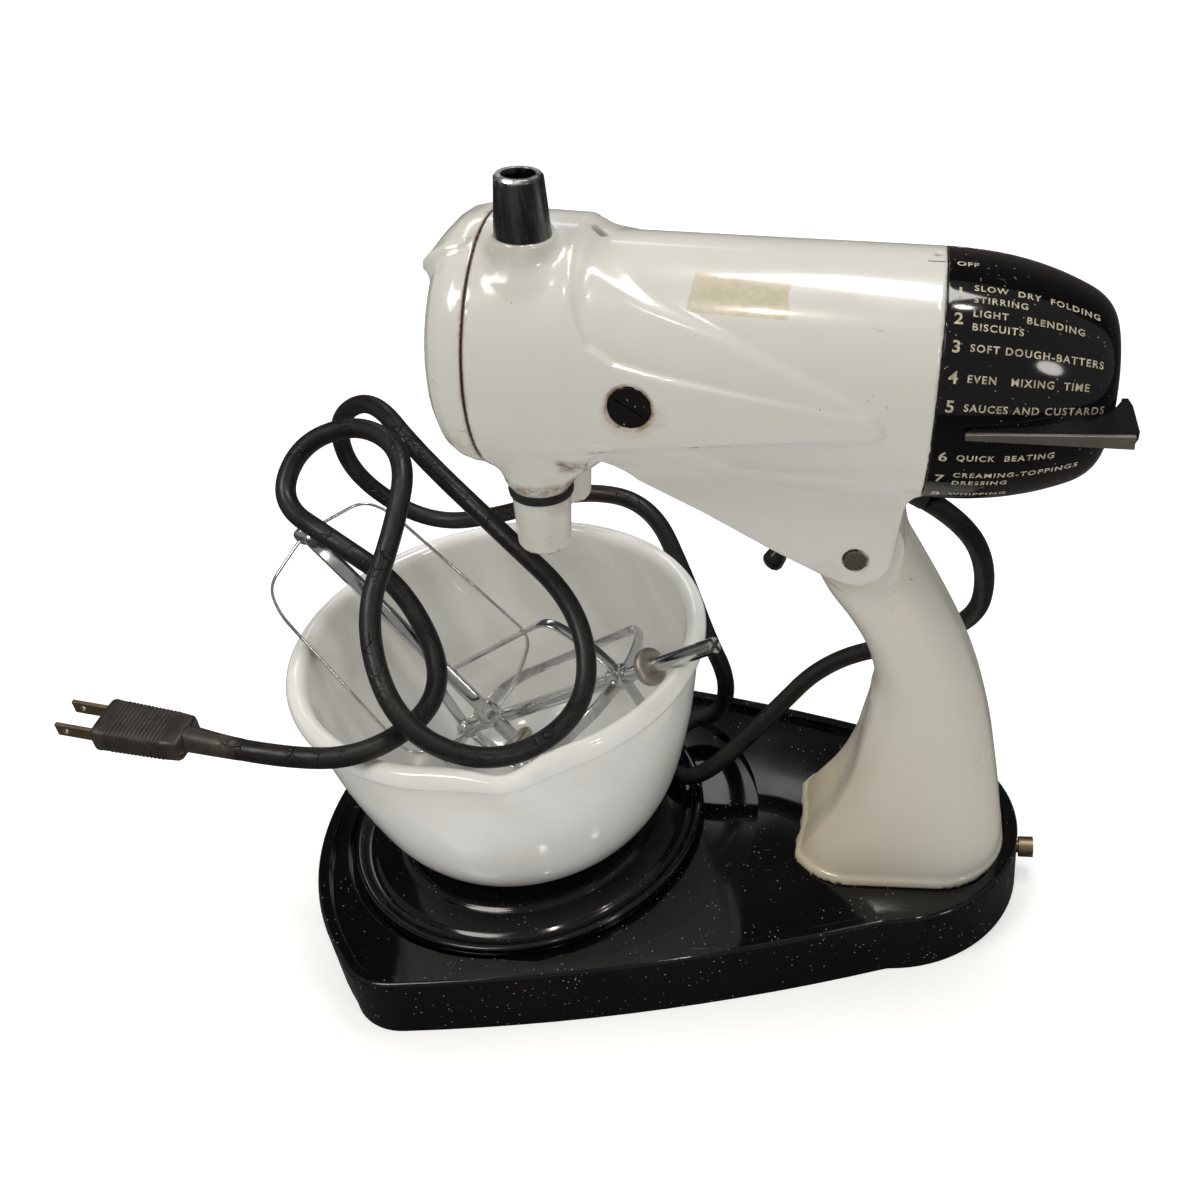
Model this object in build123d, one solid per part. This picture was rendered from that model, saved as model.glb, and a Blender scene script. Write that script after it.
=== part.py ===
"""Two-beater kitchen stand mixer: black stand, white column, tilting motor head, speed dial, bowl,
two loose beaters and a mains cord.

Frame: millimetres, +Z up. The origin is on the table plane, on the turntable's axis. +X points from the
bowl to the speed dial, +Y to the side away from the juicer cone. The head is drawn level and then
inclined about its hinge pin, because it rests with its nose a little raised.
"""
from build123d import *
import math
import os

# ---------------------------------------------------------------- driving dimensions
BASE_HEIGHT = 33.0
BASE_FRONT_X = -104.5
BASE_REAR_X = 246.0
DECK_Z = 29.5
RECESS_FLOOR_Z = 25.5
RECESS_RADIUS = 92.5
TURNTABLE_TRAVEL = 25.0
TURNTABLE_RADIUS = 89.0
TURNTABLE_TOP_Z = 31.5
BOWL_X = 2.5
BOWL_Y = 4.5
BOWL_RIM_RADIUS = 97.0
BOWL_RIM_Z = 143.3
SPOUT_ANGLE = -73.0
HINGE_X = 172.0
HINGE_Z = 206.6
HINGE_PIN_RADIUS = 4.5
COLUMN_TOP_RADIUS = 19.5
COLUMN_TOP_HALF_WIDTH = 19.3
EAR_INNER_Y = 20.0
EAR_OUTER_Y = 26.0
EAR_RADIUS = 13.6
HEAD_INCLINE = 6.0
AXIS_Z = 278.8
CAP_SEAM_X = 25.2
DIAL_SEAM_X = 194.6
DIAL_END_X = 262.8
DIAL_RADIUS = 47.3
GEAR_CASE_RADIUS = 49.3
MOTOR_FRONT_RADIUS = 44.6
MOTOR_REAR_RADIUS = 47.4
HOUSING_WALL = 2.6
SPINDLE_X = 43.0
SPINDLE_Y = 19.3
SOCKET_BOTTOM_Z = 196.6
JUICER_BASE_Z = 329.2
JUICER_TOP_Z = 350.9
JUICER_BORE_RADIUS = 6.2
BEATER_BORE_RADIUS = 4.0
BRUSH_X = 85.8
PLUG_CAP_RADIUS = 8.0
GEAR_TEETH = 20
GEAR_PITCH_RADIUS = 14.0
WORM_LEAD = 2 * math.pi * GEAR_PITCH_RADIUS / GEAR_TEETH
SHAFT_RADIUS = 5.0
SHAFT_FRONT_RADIUS = 3.0
RUNNING = 0.05
BEATER_LENGTH = 187.0
BEATER_SHAFT_RADIUS = 3.6
BEATER_HALF_WIDTH = 38.5
BEATER_A_END = (23.9, 1.3, 40.1)
BEATER_A_TIP = (-86.4, 19.2, 190.0)
BEATER_A_ROLL = 48.5
BEATER_B_END = (110.5, -23.5, 160.0)
BEATER_B_TIP = (-36.8, 28.7, 60.0)
BEATER_B_ROLL = -6.1
CORD_DIAMETER = 9.0

PARTS = {}


# ---------------------------------------------------------------- helpers
def turned_z(outline, x=0.0, y=0.0):
    """Solid of revolution about a vertical axis at x, y, from (radius, z) points."""
    wire = Polyline(*[(radius, 0, z) for radius, z in outline], close=True)
    return Pos(x, y, 0) * revolve(make_face(wire), Axis.Z)


def turned_x(outline):
    """Solid of revolution about the motor axis, from (x, radius) points."""
    wire = Polyline(*[(x, 0, radius) for x, radius in outline], close=True)
    return Pos(0, 0, AXIS_Z) * revolve(make_face(wire), Axis.X)


def ring_x(start, end, outer, inner=0.0):
    """Disc or ring on the motor axis between two x values."""
    return turned_x([(start, inner), (start, outer), (end, outer), (end, inner)])


def side_plate(points, y_low, y_high):
    """Plate standing in the XZ plane between two y values."""
    face = make_face(Polyline(*[(x, y_low, z) for x, z in points], close=True))
    return extrude(face, amount=y_high - y_low, dir=(0, 1, 0))


def rod_y(x, z, radius, y_low, y_high):
    """Cylinder along Y."""
    return Pos(x, (y_low + y_high) / 2, z) * Rot(90, 0, 0) * Cylinder(radius, y_high - y_low)


def rod_z(x, y, radius, z_low, z_high):
    """Cylinder along Z."""
    return Pos(x, y, (z_low + z_high) / 2) * Cylinder(radius, z_high - z_low)


def cross_plane(x, y=0.0, z=AXIS_Z):
    """Plane across the motor axis: local x is +Y, local y is +Z, and it faces +X."""
    return Plane(origin=(x, y, z), x_dir=(0, 1, 0), z_dir=(1, 0, 0))


def rod_between(start, end, radius_start, radius_end=None):
    """Straight or tapered rod between two points."""
    start, end = Vector(*start), Vector(*end)
    length = (end - start).length
    plane = Plane(origin=start, z_dir=end - start)
    radius_end = radius_start if radius_end is None else radius_end
    if abs(radius_start - radius_end) < 1e-6:
        body = Cylinder(radius_start, length)
    else:
        body = Cone(radius_start, radius_end, length)
    return plane * Pos(0, 0, length / 2) * body


def inclined(shape):
    """Turns a level head piece about the hinge pin to the head's resting inclination."""
    return Pos(HINGE_X, 0, HINGE_Z) * Rot(0, HEAD_INCLINE, 0) * Pos(-HINGE_X, 0, -HINGE_Z) * shape


def keep(name, shape):
    PARTS[name] = shape


def keep_head(name, shape):
    PARTS[name] = inclined(shape)


# ---------------------------------------------------------------- stand
def base_outline(inset):
    """Plan of the stand: bowed front, rounded front corners, long sides closing to a round rear."""
    front_corner = (-64.0 + 0.6 * inset, -99.0 + 0.8 * inset)
    corner = (-53.5 + 0.3 * inset, -109.0 + 0.95 * inset)
    side_start = (-36.0, -112.5 + inset)
    side_middle = (76.0, -94.5 + inset)
    side_end = (184.0, -64.0 + 1.02 * inset)

    def mirrored(point):
        return (point[0], -point[1])

    edges = [
        ThreePointArc(mirrored(front_corner), (BASE_FRONT_X + inset, 0), front_corner),
        ThreePointArc(front_corner, corner, side_start),
        ThreePointArc(side_start, side_middle, side_end),
        ThreePointArc(side_end, (BASE_REAR_X - inset, 0), mirrored(side_end)),
        ThreePointArc(mirrored(side_end), mirrored(side_middle), mirrored(side_start)),
        ThreePointArc(mirrored(side_start), mirrored(corner), mirrored(front_corner)),
    ]
    face = make_face(edges)
    return fillet(face.vertices(), 12.0 - inset)


COLUMN_BOLTS = [(168.0, -14.0), (168.0, 14.0), (214.0, 0.0)]
FOOT_PLACES = [(-52.0, -86.0), (-52.0, 86.0), (190.0, -44.0), (190.0, 44.0)]


def make_base():
    body = extrude(base_outline(0), amount=BASE_HEIGHT)
    body = fillet(body.faces().sort_by(Axis.Z)[-1].edges(), 2.2)
    body -= Pos(0, 0, DECK_Z) * extrude(base_outline(6.0), amount=10)
    body -= Pos(0, 0, -1) * extrude(base_outline(5.0), amount=22)
    recess = rod_z(0, 0, RECESS_RADIUS, RECESS_FLOOR_Z, 60)
    recess += rod_z(TURNTABLE_TRAVEL, 0, RECESS_RADIUS, RECESS_FLOOR_Z, 60)
    recess += Pos(TURNTABLE_TRAVEL / 2, 0, RECESS_FLOOR_Z + 20) * Box(TURNTABLE_TRAVEL, 2 * RECESS_RADIUS, 40)
    body -= recess
    slot = Pos(TURNTABLE_TRAVEL / 2, 0, 20) * Box(TURNTABLE_TRAVEL, 11.0, 20)
    slot += rod_z(0, 0, 5.5, 10, 30) + rod_z(TURNTABLE_TRAVEL, 0, 5.5, 10, 30)
    body -= slot
    for x, y in COLUMN_BOLTS:
        body -= rod_z(x, y, 3.0, 10, 40)
    for x, y in FOOT_PLACES:
        body += rod_z(x, y, 8.0, 8, 23)
    rear_boss = Pos(234, 0, 17) * Rot(0, 90, 0) * Cylinder(7, 20)
    body += rear_boss
    body -= Pos(240, 0, 17) * Rot(0, 90, 0) * Cylinder(3.0, 40)
    return body


def make_rear_screw():
    """Brass thumb screw at the rear of the stand, in a plain stand-in for its thread."""
    screw = Pos(240, 0, 17) * Rot(0, 90, 0) * Cylinder(3.0, 26)
    head = Pos(250.5, 0, 17) * Rot(0, 90, 0) * Cylinder(5.0, 7)
    head -= Pos(254, 0, 17) * Box(2.4, 12, 1.6)
    return screw + head


COLUMN_SECTIONS = [
    # z, front x, rear x, half width
    (DECK_Z, 134.0, 237.0, 40.0),
    (42.0, 142.5, 237.2, 36.0),
    (58.0, 154.0, 235.6, 32.3),
    (76.0, 163.0, 233.4, 29.6),
    (97.0, 169.5, 230.6, 27.3),
    (116.0, 175.2, 227.0, 25.2),
    (132.0, 178.0, 223.0, 23.5),
    (150.0, 174.5, 217.2, 22.2),
    (166.0, 167.0, 210.8, 21.1),
    (181.0, 158.0, 204.0, 20.3),
    (194.0, 153.3, 197.8, 19.6),
    (HINGE_Z, 152.5, 191.5, COLUMN_TOP_HALF_WIDTH),
]
CORNER_SHARE = 0.78


def column_loft(wall):
    faces = []
    for z, front, rear, half in COLUMN_SECTIONS:
        width, depth = rear - front - 2 * wall, 2 * (half - wall)
        corner = CORNER_SHARE * min(width, depth) / 2
        face = RectangleRounded(width, depth, corner)
        faces.append(Pos((front + rear) / 2, 0, z) * face)
    return faces


def make_column():
    body = loft(column_loft(0), ruled=True)
    inner = loft(column_loft(5.0)[1:9], ruled=True)
    body = body - inner
    body += rod_y(HINGE_X, HINGE_Z, COLUMN_TOP_RADIUS, -COLUMN_TOP_HALF_WIDTH, COLUMN_TOP_HALF_WIDTH)
    for x, y in COLUMN_BOLTS:
        body += rod_z(x, y, 6.5, DECK_Z, 50)
        body -= rod_z(x, y, 2.9, DECK_Z - 1, 46)
    body -= rod_y(HINGE_X, HINGE_Z, HINGE_PIN_RADIUS, -60, 60)
    body -= side_plate([(146, 195), (156, 195), (156, 201), (146, 201)], -8, 8)
    return body


def make_column_bolts():
    bolts = None
    for x, y in COLUMN_BOLTS:
        bolt = rod_z(x, y, 2.9, 17, 45) + rod_z(x, y, 6.0, 13, 21)
        bolts = bolt if bolts is None else bolts + bolt
    return bolts


def make_feet():
    feet = None
    for x, y in FOOT_PLACES:
        foot = Pos(x, y, 0) * turned_z([(0, 0), (8, 0), (10, 3), (10, 8), (0, 8)])
        feet = foot if feet is None else feet + foot
    return feet


# ---------------------------------------------------------------- turntable and bowl
def make_carrier_plate():
    plate = Pos(0, 0, 18.75) * Box(34, 26, 3.5)
    return plate - rod_z(0, 0, 4.0, 10, 30)


def make_pivot_post():
    return rod_z(0, 0, 4.0, 15.0, 28.4) + rod_z(0, 0, 7.0, 14.5, 17.0)


def make_turntable():
    outline = [
        (0, 29.2), (60, 29.2), (61.5, 32.0), (64.5, 32.2), (66.5, 30.6), (78, 29.6), (80, 28.4), (83, 28.4),
        (85, 30.4), (87, TURNTABLE_TOP_Z), (88.4, 31.0), (TURNTABLE_RADIUS, 29.0), (TURNTABLE_RADIUS, 26.6),
        (87, 26.6), (86.5, 27.4), (84, 26.8), (66, 27.4), (11, 27.4), (11, 26.5), (4.05, 26.5), (4.05, 28.6),
        (0, 28.6),
    ]
    return turned_z(outline)


def rim_spout(radius_top, radius_low):
    """Tapered wedge that pushes the rim out into a pouring lip."""
    angle = math.radians(SPOUT_ANGLE)
    direction = Vector(math.cos(angle), math.sin(angle), 0)
    top = Vector(BOWL_X, BOWL_Y, BOWL_RIM_Z) + direction * 87.0
    low = Vector(BOWL_X, BOWL_Y, 96.0) + direction * 79.0
    return loft([Pos(*low) * Circle(radius_low), Pos(*top) * Circle(radius_top)])


def make_bowl():
    outer = [
        (0, 29.4), (42, 29.4), (46, 29.4), (54, 33), (62, 39), (69, 47), (76, 60), (83, 80), (88, 100),
        (91.5, 120), (93.2, 132), (95.6, 134.5), (BOWL_RIM_RADIUS, 138), (BOWL_RIM_RADIUS, 141),
        (95.8, 142.8), (94.0, BOWL_RIM_Z), (0, BOWL_RIM_Z),
    ]
    inner = [
        (0, 36), (36, 36), (48, 40), (61, 50), (69, 61), (77, 80), (82.5, 100), (86.5, 120), (89.2, 134),
        (90.2, 140), (91.4, 142.4), (93.0, BOWL_RIM_Z + 0.01), (0, BOWL_RIM_Z + 0.01),
    ]
    solid = turned_z(outer, BOWL_X, BOWL_Y) + rim_spout(13.0, 5.0)
    hollow = turned_z(inner, BOWL_X, BOWL_Y) + rim_spout(8.5, 1.5)
    return solid - hollow


# ---------------------------------------------------------------- beaters
def beater_frame(end, tip, roll):
    """Plane with its origin at the slotted end, z along the shaft and x in the first loop's plane."""
    axis = (Vector(*tip) - Vector(*end)).normalized()
    level = axis.cross(Vector(0, 0, 1)).normalized()
    upright = axis.cross(level)
    angle = math.radians(roll)
    return Plane(origin=end, x_dir=level * math.cos(angle) + upright * math.sin(angle), z_dir=axis)


def beater_loop():
    """One closed wire loop in the local XZ plane."""
    half = BEATER_HALF_WIDTH
    side = [(0, 62), (22, 66), (half, 78), (half - 4, 112), (30, 168), (24, 182), (0, BEATER_LENGTH - 1.5)]
    points = side + [(-x, z) for x, z in reversed(side[1:-1])]
    path = FilletPolyline(*[(x, 0, z) for x, z in points], radius=5.0, close=True)
    start = path @ 0
    section = Plane(origin=start, z_dir=path % 0) * Circle(1.5)
    return sweep(section, path)


def make_beater(name, end, tip, roll):
    place = beater_frame(end, tip, roll)
    loops = beater_loop() + Rot(0, 0, 90) * beater_loop()
    loops += Pos(0, 0, 63) * Cylinder(6.0, 9.0)
    loops += Pos(0, 0, BEATER_LENGTH - 2) * Cylinder(4.0, 5.0)
    loops -= Pos(0, 0, 90) * Cylinder(BEATER_SHAFT_RADIUS, 190)
    shaft = Pos(0, 0, (BEATER_LENGTH - 4) / 2) * Cylinder(BEATER_SHAFT_RADIUS, BEATER_LENGTH - 4)
    shaft -= Pos(0, 0, 4) * Box(1.6, 9, 10) + Pos(0, 0, 4) * Box(9, 1.6, 10)
    collar = Pos(0, 0, 42) * (Cylinder(7.6, 3.2) - Cylinder(BEATER_SHAFT_RADIUS, 4))
    keep(name + "_shaft", place * shaft)
    keep(name + "_collar", place * collar)
    keep(name + "_loops", place * loops)


# ---------------------------------------------------------------- head housing
WEB_OUTLINE = [
    (86, 250), (84, 233.6), (109, 222.2), (137.8, 206.9), (161.0, 195.8),
]


def web_face(y):
    """Side view of the hinge web under the motor, at one y."""
    hinge_low = (HINGE_X + 0.8, HINGE_Z - EAR_RADIUS)
    hinge_rear = (HINGE_X + EAR_RADIUS + 1.2, HINGE_Z + 1.2)
    points = [(x, y, z) for x, z in WEB_OUTLINE]
    arc = ThreePointArc(points[-1], (hinge_low[0], y, hinge_low[1]), (hinge_rear[0], y, hinge_rear[1]))
    front = Polyline(*points)
    rear = Polyline((hinge_rear[0], y, hinge_rear[1]), (189.4, y, 237), (189.4, y, 250), points[0])
    return make_face([*front.edges(), *arc.edges(), *rear.edges()])


def make_housing():
    body = turned_x([
        (CAP_SEAM_X, 0), (CAP_SEAM_X, 49.1), (45, GEAR_CASE_RADIUS), (60, 49.2), (64, 47.9), (67.5, 45.6),
        (72, MOTOR_FRONT_RADIUS), (DIAL_SEAM_X, MOTOR_REAR_RADIUS), (DIAL_SEAM_X, 0),
    ])
    body += extrude(web_face(-EAR_OUTER_Y), amount=2 * EAR_OUTER_Y, dir=(0, 1, 0))
    flank = loft([
        cross_plane(64, 0, 275) * RectangleRounded(93.6, 34, 6),
        cross_plane(150, 0, 277) * RectangleRounded(93.2, 5, 2),
    ])
    body += flank
    for side in (-1, 1):
        body += turned_z([
            (0, SOCKET_BOTTOM_Z), (9.8, SOCKET_BOTTOM_Z), (10.9, SOCKET_BOTTOM_Z + 1.5), (12.0, 222.0),
            (12.0, 226.0), (14.0, 228.5), (17.0, 241.0), (0, 241.0),
        ], SPINDLE_X, side * SPINDLE_Y)
    body += turned_z([(0, 300), (17, 300), (15.2, 317), (12.2, 322), (10.9, JUICER_BASE_Z), (0, JUICER_BASE_Z)],
                     SPINDLE_X, -SPINDLE_Y)
    body -= ring_x(CAP_SEAM_X - 5, 58, 46.3)
    body -= turned_x([
        (63, 0), (63, 41.6), (72, MOTOR_FRONT_RADIUS - HOUSING_WALL),
        (DIAL_SEAM_X + 1, MOTOR_REAR_RADIUS - HOUSING_WALL), (DIAL_SEAM_X + 1, 0),
    ])
    for side, top in ((-1, JUICER_BASE_Z), (1, 318.0)):
        body += rod_z(SPINDLE_X, side * SPINDLE_Y, 11.0, 296, top)
    body -= side_plate([(104, 231.0), (147, 208.5), (147, 185), (196, 185), (196, 231.0)],
                       -EAR_INNER_Y, EAR_INNER_Y)
    for side, top in ((-1, JUICER_BASE_Z + 1), (1, 309.0)):
        y = side * SPINDLE_Y
        body -= rod_z(SPINDLE_X, y, 9.0, SOCKET_BOTTOM_Z - 1, 246)
        body -= rod_z(SPINDLE_X, y, 8.0, 290, top)
    body -= ring_x(50, 70, 9.0)
    body -= rod_y(HINGE_X, HINGE_Z, HINGE_PIN_RADIUS + RUNNING, -60, 60)
    for side in (-1, 1):
        seat_low, seat_high = sorted((side * 43.9, side * 60))
        body -= rod_y(BRUSH_X, AXIS_Z, PLUG_CAP_RADIUS + 0.1, seat_low, seat_high)
        hole_low, hole_high = sorted((side * 30, side * 60))
        body -= rod_y(BRUSH_X, AXIS_Z, 6.0, hole_low, hole_high)
    for x, radius in ((66.5, 2.8), (191.0, 1.3)):
        body -= rod_z(x, 0, radius, AXIS_Z + 35, AXIS_Z + 60)
    body -= rod_y(LATCH_X, LATCH_Z, 2.0 + RUNNING, -60, 60)
    body -= rod_between(GLAND_START, GLAND_END, 5.2)
    body -= side_plate([(128, 228), (152, 228), (152, 185), (128, 185)], -6.5, 6.5)
    return body


GLAND_START = (176.0, 0.0, 234.9)
GLAND_SEAT = (185.0, 0.0, 229.7)
GLAND_END = (198.0, 0.0, 222.2)
LATCH_X = 141.0
LATCH_Z = 216.0


def make_gland():
    """Tapered rubber strain relief, seated in the housing above the hinge."""
    length = (Vector(*GLAND_END) - Vector(*GLAND_SEAT)).length
    place = Plane(origin=GLAND_SEAT, z_dir=Vector(*GLAND_END) - Vector(*GLAND_SEAT))
    return place * turned_z([(0, 0), (5.2, 0), (5.2, 8.0), (4.8, length), (0, length)])


def make_nose_cap():
    arc_points = [(CAP_SEAM_X - 0.2, 49.1), (20, 48.7), (15.5, 47.3), (11.5, 44.5), (8.4, 39.5), (6.6, 31), (5.6, 16)]
    body = turned_x([(5.4, 0)] + arc_points[::-1] + [(CAP_SEAM_X - 0.2, 0)])
    hollow = [(CAP_SEAM_X, 45.0), (19, 43.8), (15, 41.0), (12, 36), (10.2, 28), (9.2, 12), (9.0, 0), (CAP_SEAM_X, 0)]
    body -= turned_x(hollow)
    body += ring_x(CAP_SEAM_X - 1, CAP_SEAM_X + 3.5, 46.2, 43.6)
    brow = side_plate([(5.0, 313.2), (12, 309.5), (20, 312), (20, 325.5), (12.4, 321.5), (5.4, 315.8)], -19, 19)
    body += brow & ring_x(2, 24, 60, 0)
    body += ring_x(6, 24, 9.0)
    body -= ring_x(12, 30, 7.0)
    return body


# ---------------------------------------------------------------- drive train
def make_worm():
    length = 22.0
    start = SPINDLE_X - length / 2
    profile = [(-1.05, 3.6), (-0.45, 6.0), (0.45, 6.0), (1.05, 3.6)]
    turns = 4.5
    path = Helix(pitch=WORM_LEAD, height=turns * WORM_LEAD, radius=4.5)
    face = make_face(Polyline(*[(r, 0, a) for a, r in profile], close=True))
    thread = sweep(face, path=path, is_frenet=True)
    root = Pos(0, 0, turns * WORM_LEAD / 2) * Cylinder(4.1, length)
    worm = root + thread
    worm -= Pos(0, 0, turns * WORM_LEAD / 2) * Cylinder(SHAFT_FRONT_RADIUS, 60)
    # The helix starts on the local +X side; this puts a thread gap on the +Y side at the spindle plane.
    worm = Rot(0, 0, 0) * Pos(0, 0, -turns * WORM_LEAD / 2) * worm
    return Pos(SPINDLE_X, 0, AXIS_Z) * Rot(0, 90, 0) * Rot(0, 0, WORM_PHASE) * worm


WORM_PHASE = 0.0


def gear_blank(phase):
    """Spur-toothed worm wheel with thin teeth and generous backlash."""
    blank = Cylinder(12.9, 6.0)
    for index in range(GEAR_TEETH):
        tooth = make_face(Polyline((12.5, -0.95), (14.9, -0.5), (14.9, 0.5), (12.5, 0.95), close=True))
        tooth = extrude(tooth, amount=3.0, both=True)
        blank += Rot(0, 0, phase + index * 360 / GEAR_TEETH) * tooth
    return blank - Cylinder(SHAFT_RADIUS, 10)


def make_spindle(side, top):
    body = turned_z([(0, 201), (7.0, 201), (7.0, 262), (SHAFT_RADIUS, 264), (SHAFT_RADIUS, top), (0, top)],
                    SPINDLE_X, side * SPINDLE_Y)
    body -= rod_z(SPINDLE_X, side * SPINDLE_Y, BEATER_BORE_RADIUS, 195, 243)
    return body


def make_armature_core():
    core = Circle(22.8)
    for index in range(12):
        slot = Pos(18.5, 0) * Rectangle(7.0, 3.0) + Pos(22.5, 0) * Rectangle(2.0, 1.2)
        core -= Rot(0, 0, index * 30) * slot
    core -= Circle(SHAFT_RADIUS)
    return cross_plane(108) * extrude(core, amount=42)


def make_commutator():
    body = Circle(12.0)
    for index in range(12):
        body -= Rot(0, 0, index * 30) * Pos(11.2, 0) * Rectangle(2.0, 0.8)
    body -= Circle(SHAFT_RADIUS)
    return cross_plane(79) * extrude(body, amount=14)


def make_fan():
    hub = ring_x(164, 176, 9.0, SHAFT_RADIUS) + ring_x(164, 165.5, 38.0, SHAFT_RADIUS)
    for index in range(10):
        blade = Pos(170.5, 0, 24) * Rot(0, 0, 20) * Box(10.5, 1.2, 26)
        hub += Pos(0, 0, AXIS_Z) * Rot(index * 36, 0, 0) * blade
    return hub


def make_field_stack():
    ring = Circle(41.2) - Circle(33.5)
    poles = Rectangle(16, 74) & Circle(36)
    shoes = (Circle(28.5) - Rectangle(60, 24)) + (Circle(28.5) & Rectangle(16, 60))
    stack = ring + poles + shoes - Circle(23.5)
    for side in (-1, 1):
        stack -= Pos(side * 26.4, side * 26.4) * Circle(2.1)
    return cross_plane(108) * extrude(stack, amount=42)


def make_field_coils():
    coils = None
    for x in (98.0, 150.3):
        for side in (-1, 1):
            arc = (Circle(33.0) - Circle(25.5)) & (Pos(0, side * 30) * Rectangle(70, 34))
            piece = cross_plane(x) * extrude(arc, amount=9.7)
            coils = piece if coils is None else coils + piece
    return coils


def make_field_screws():
    screws = None
    for side in (-1, 1):
        y = side * 26.4
        screw = Pos(109, y, AXIS_Z + y) * Rot(0, 90, 0) * Cylinder(2.0, 92)
        screw += Pos(156.5, y, AXIS_Z + y) * Rot(0, 90, 0) * Cylinder(3.6, 4)
        screws = screw if screws is None else screws + screw
    return screws


def make_end_bracket():
    plate = ring_x(178, 182, 44.4, 8.0)
    plate += ring_x(176.5, 187, 12.0, 8.0)
    for index in range(4):
        window = Pos(180, 0, AXIS_Z) * Rot(45 + index * 90, 0, 0) * Pos(0, 0, 27) * Box(20, 20, 20)
        plate -= window
    return plate


def make_governor():
    body = ring_x(188, 191, 18.0, SHAFT_FRONT_RADIUS)
    for side in (-1, 1):
        body += Pos(193.5, 0, AXIS_Z + side * 13) * Box(5.5, 12, 7)
    return body


def make_brush(side):
    low, high = sorted((side * 12.3, side * 26.0))
    return Pos(BRUSH_X, (low + high) / 2, AXIS_Z) * Box(6.0, high - low, 5.0)


def make_brush_holder(side):
    low, high = sorted((side * 14.5, side * 43.8))
    tube = rod_y(BRUSH_X, AXIS_Z, 5.9, low, high)
    return tube - Pos(BRUSH_X, (low + high) / 2, AXIS_Z) * Box(6.2, 60, 5.2)


def make_plug_cap(side):
    low, high = sorted((side * 43.9, side * 48.2))
    cap = rod_y(BRUSH_X, AXIS_Z, PLUG_CAP_RADIUS, low, high)
    slot_low, slot_high = sorted((side * 47.2, side * 50))
    slot = Pos(BRUSH_X, (slot_low + slot_high) / 2, AXIS_Z) * Rot(0, 30, 0) * Box(12, slot_high - slot_low, 1.2)
    return cap - slot


# ---------------------------------------------------------------- speed dial
DIAL_OUTLINE = [
    (195.0, DIAL_RADIUS), (204, 47.1), (213, 46.4), (224, 44.6), (235, 41.8), (244, 38.4), (251, 34.7),
    (256, 31.2), (259.5, 27.6), (261.6, 23.4), (262.6, 18.4),
]


def make_dial():
    outer = turned_x([(195.0, 0)] + DIAL_OUTLINE + [(DIAL_END_X, 0)])
    inner = turned_x([(194.0, 0), (194.0, 44.3)] + [(x - 2.2, r - 2.9) for x, r in DIAL_OUTLINE[1:]] + [(260, 0)])
    boss = ring_x(226, DIAL_END_X - 1, 10.0)
    body = (outer - inner) + boss
    return body - ring_x(220, 258, SHAFT_RADIUS + RUNNING)


def dial_core():
    return turned_x([(195.0, 0)] + DIAL_OUTLINE + [(DIAL_END_X, 0)])


TAB_Y = -49.3
TAB_END_X = 265.5
TAB_RISE = 3.6


def risen(shape):
    """Raises the lever's rear end a little above the motor axis."""
    return Pos(205.5, 0, AXIS_Z + 1.2) * Rot(0, -TAB_RISE, 0) * Pos(-205.5, 0, -AXIS_Z) * shape


def make_dial_tab():
    outline = make_face(Polyline(
        (205.5, TAB_Y), (263.5, TAB_Y), (TAB_END_X, TAB_Y + 4), (TAB_END_X, -26), (264.5, -20.5),
        (250, -20.5), (215, -40), close=True))
    plate = risen(Pos(0, 0, AXIS_Z - 1.5) * extrude(outline, amount=3.0))
    return plate - dial_core() - Pos(0, 0, 0) * ring_x(260, 275, 18)


def make_dial_trim():
    return risen(side_plate([(205.5, AXIS_Z - 1.1), (TAB_END_X - 2, AXIS_Z - 2.6), (TAB_END_X - 2, AXIS_Z + 2.4),
                       (205.5, AXIS_Z + 1.1)], TAB_Y - 1.6, TAB_Y))


def make_dial_hub():
    """Fixed cup and stud that the dial turns on."""
    body = ring_x(182, 212, 40.5, 38.0) + ring_x(209.5, 212, 40.5) + ring_x(210, 257.5, SHAFT_RADIUS)
    body += ring_x(182, 184.5, 44.0, 38.0)
    return body


# ---------------------------------------------------------------- head latch
def make_latch():
    """Latch arm between the hinge ears with a round thumb knob below the web."""
    arm = rod_y(LATCH_X, LATCH_Z, 5.0, -6, 6)
    arm += side_plate([(LATCH_X - 2, LATCH_Z), (LATCH_X + 2.5, LATCH_Z), (LATCH_X + 1.5, 196), (LATCH_X - 3, 196)],
                      -4, 4)
    arm += side_plate([(LATCH_X + 0.5, 204), (LATCH_X + 9.0, 202.2), (LATCH_X + 9.0, 198.8), (LATCH_X, 198.8)],
                      -4, 4)
    arm -= rod_y(LATCH_X, LATCH_Z, 2.0, -60, 60)
    return arm


def make_latch_knob():
    return Pos(LATCH_X - 1, 0, 191.8) * Sphere(4.6) - Pos(LATCH_X - 1, 0, 199.8) * Box(20, 20, 8)


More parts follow.
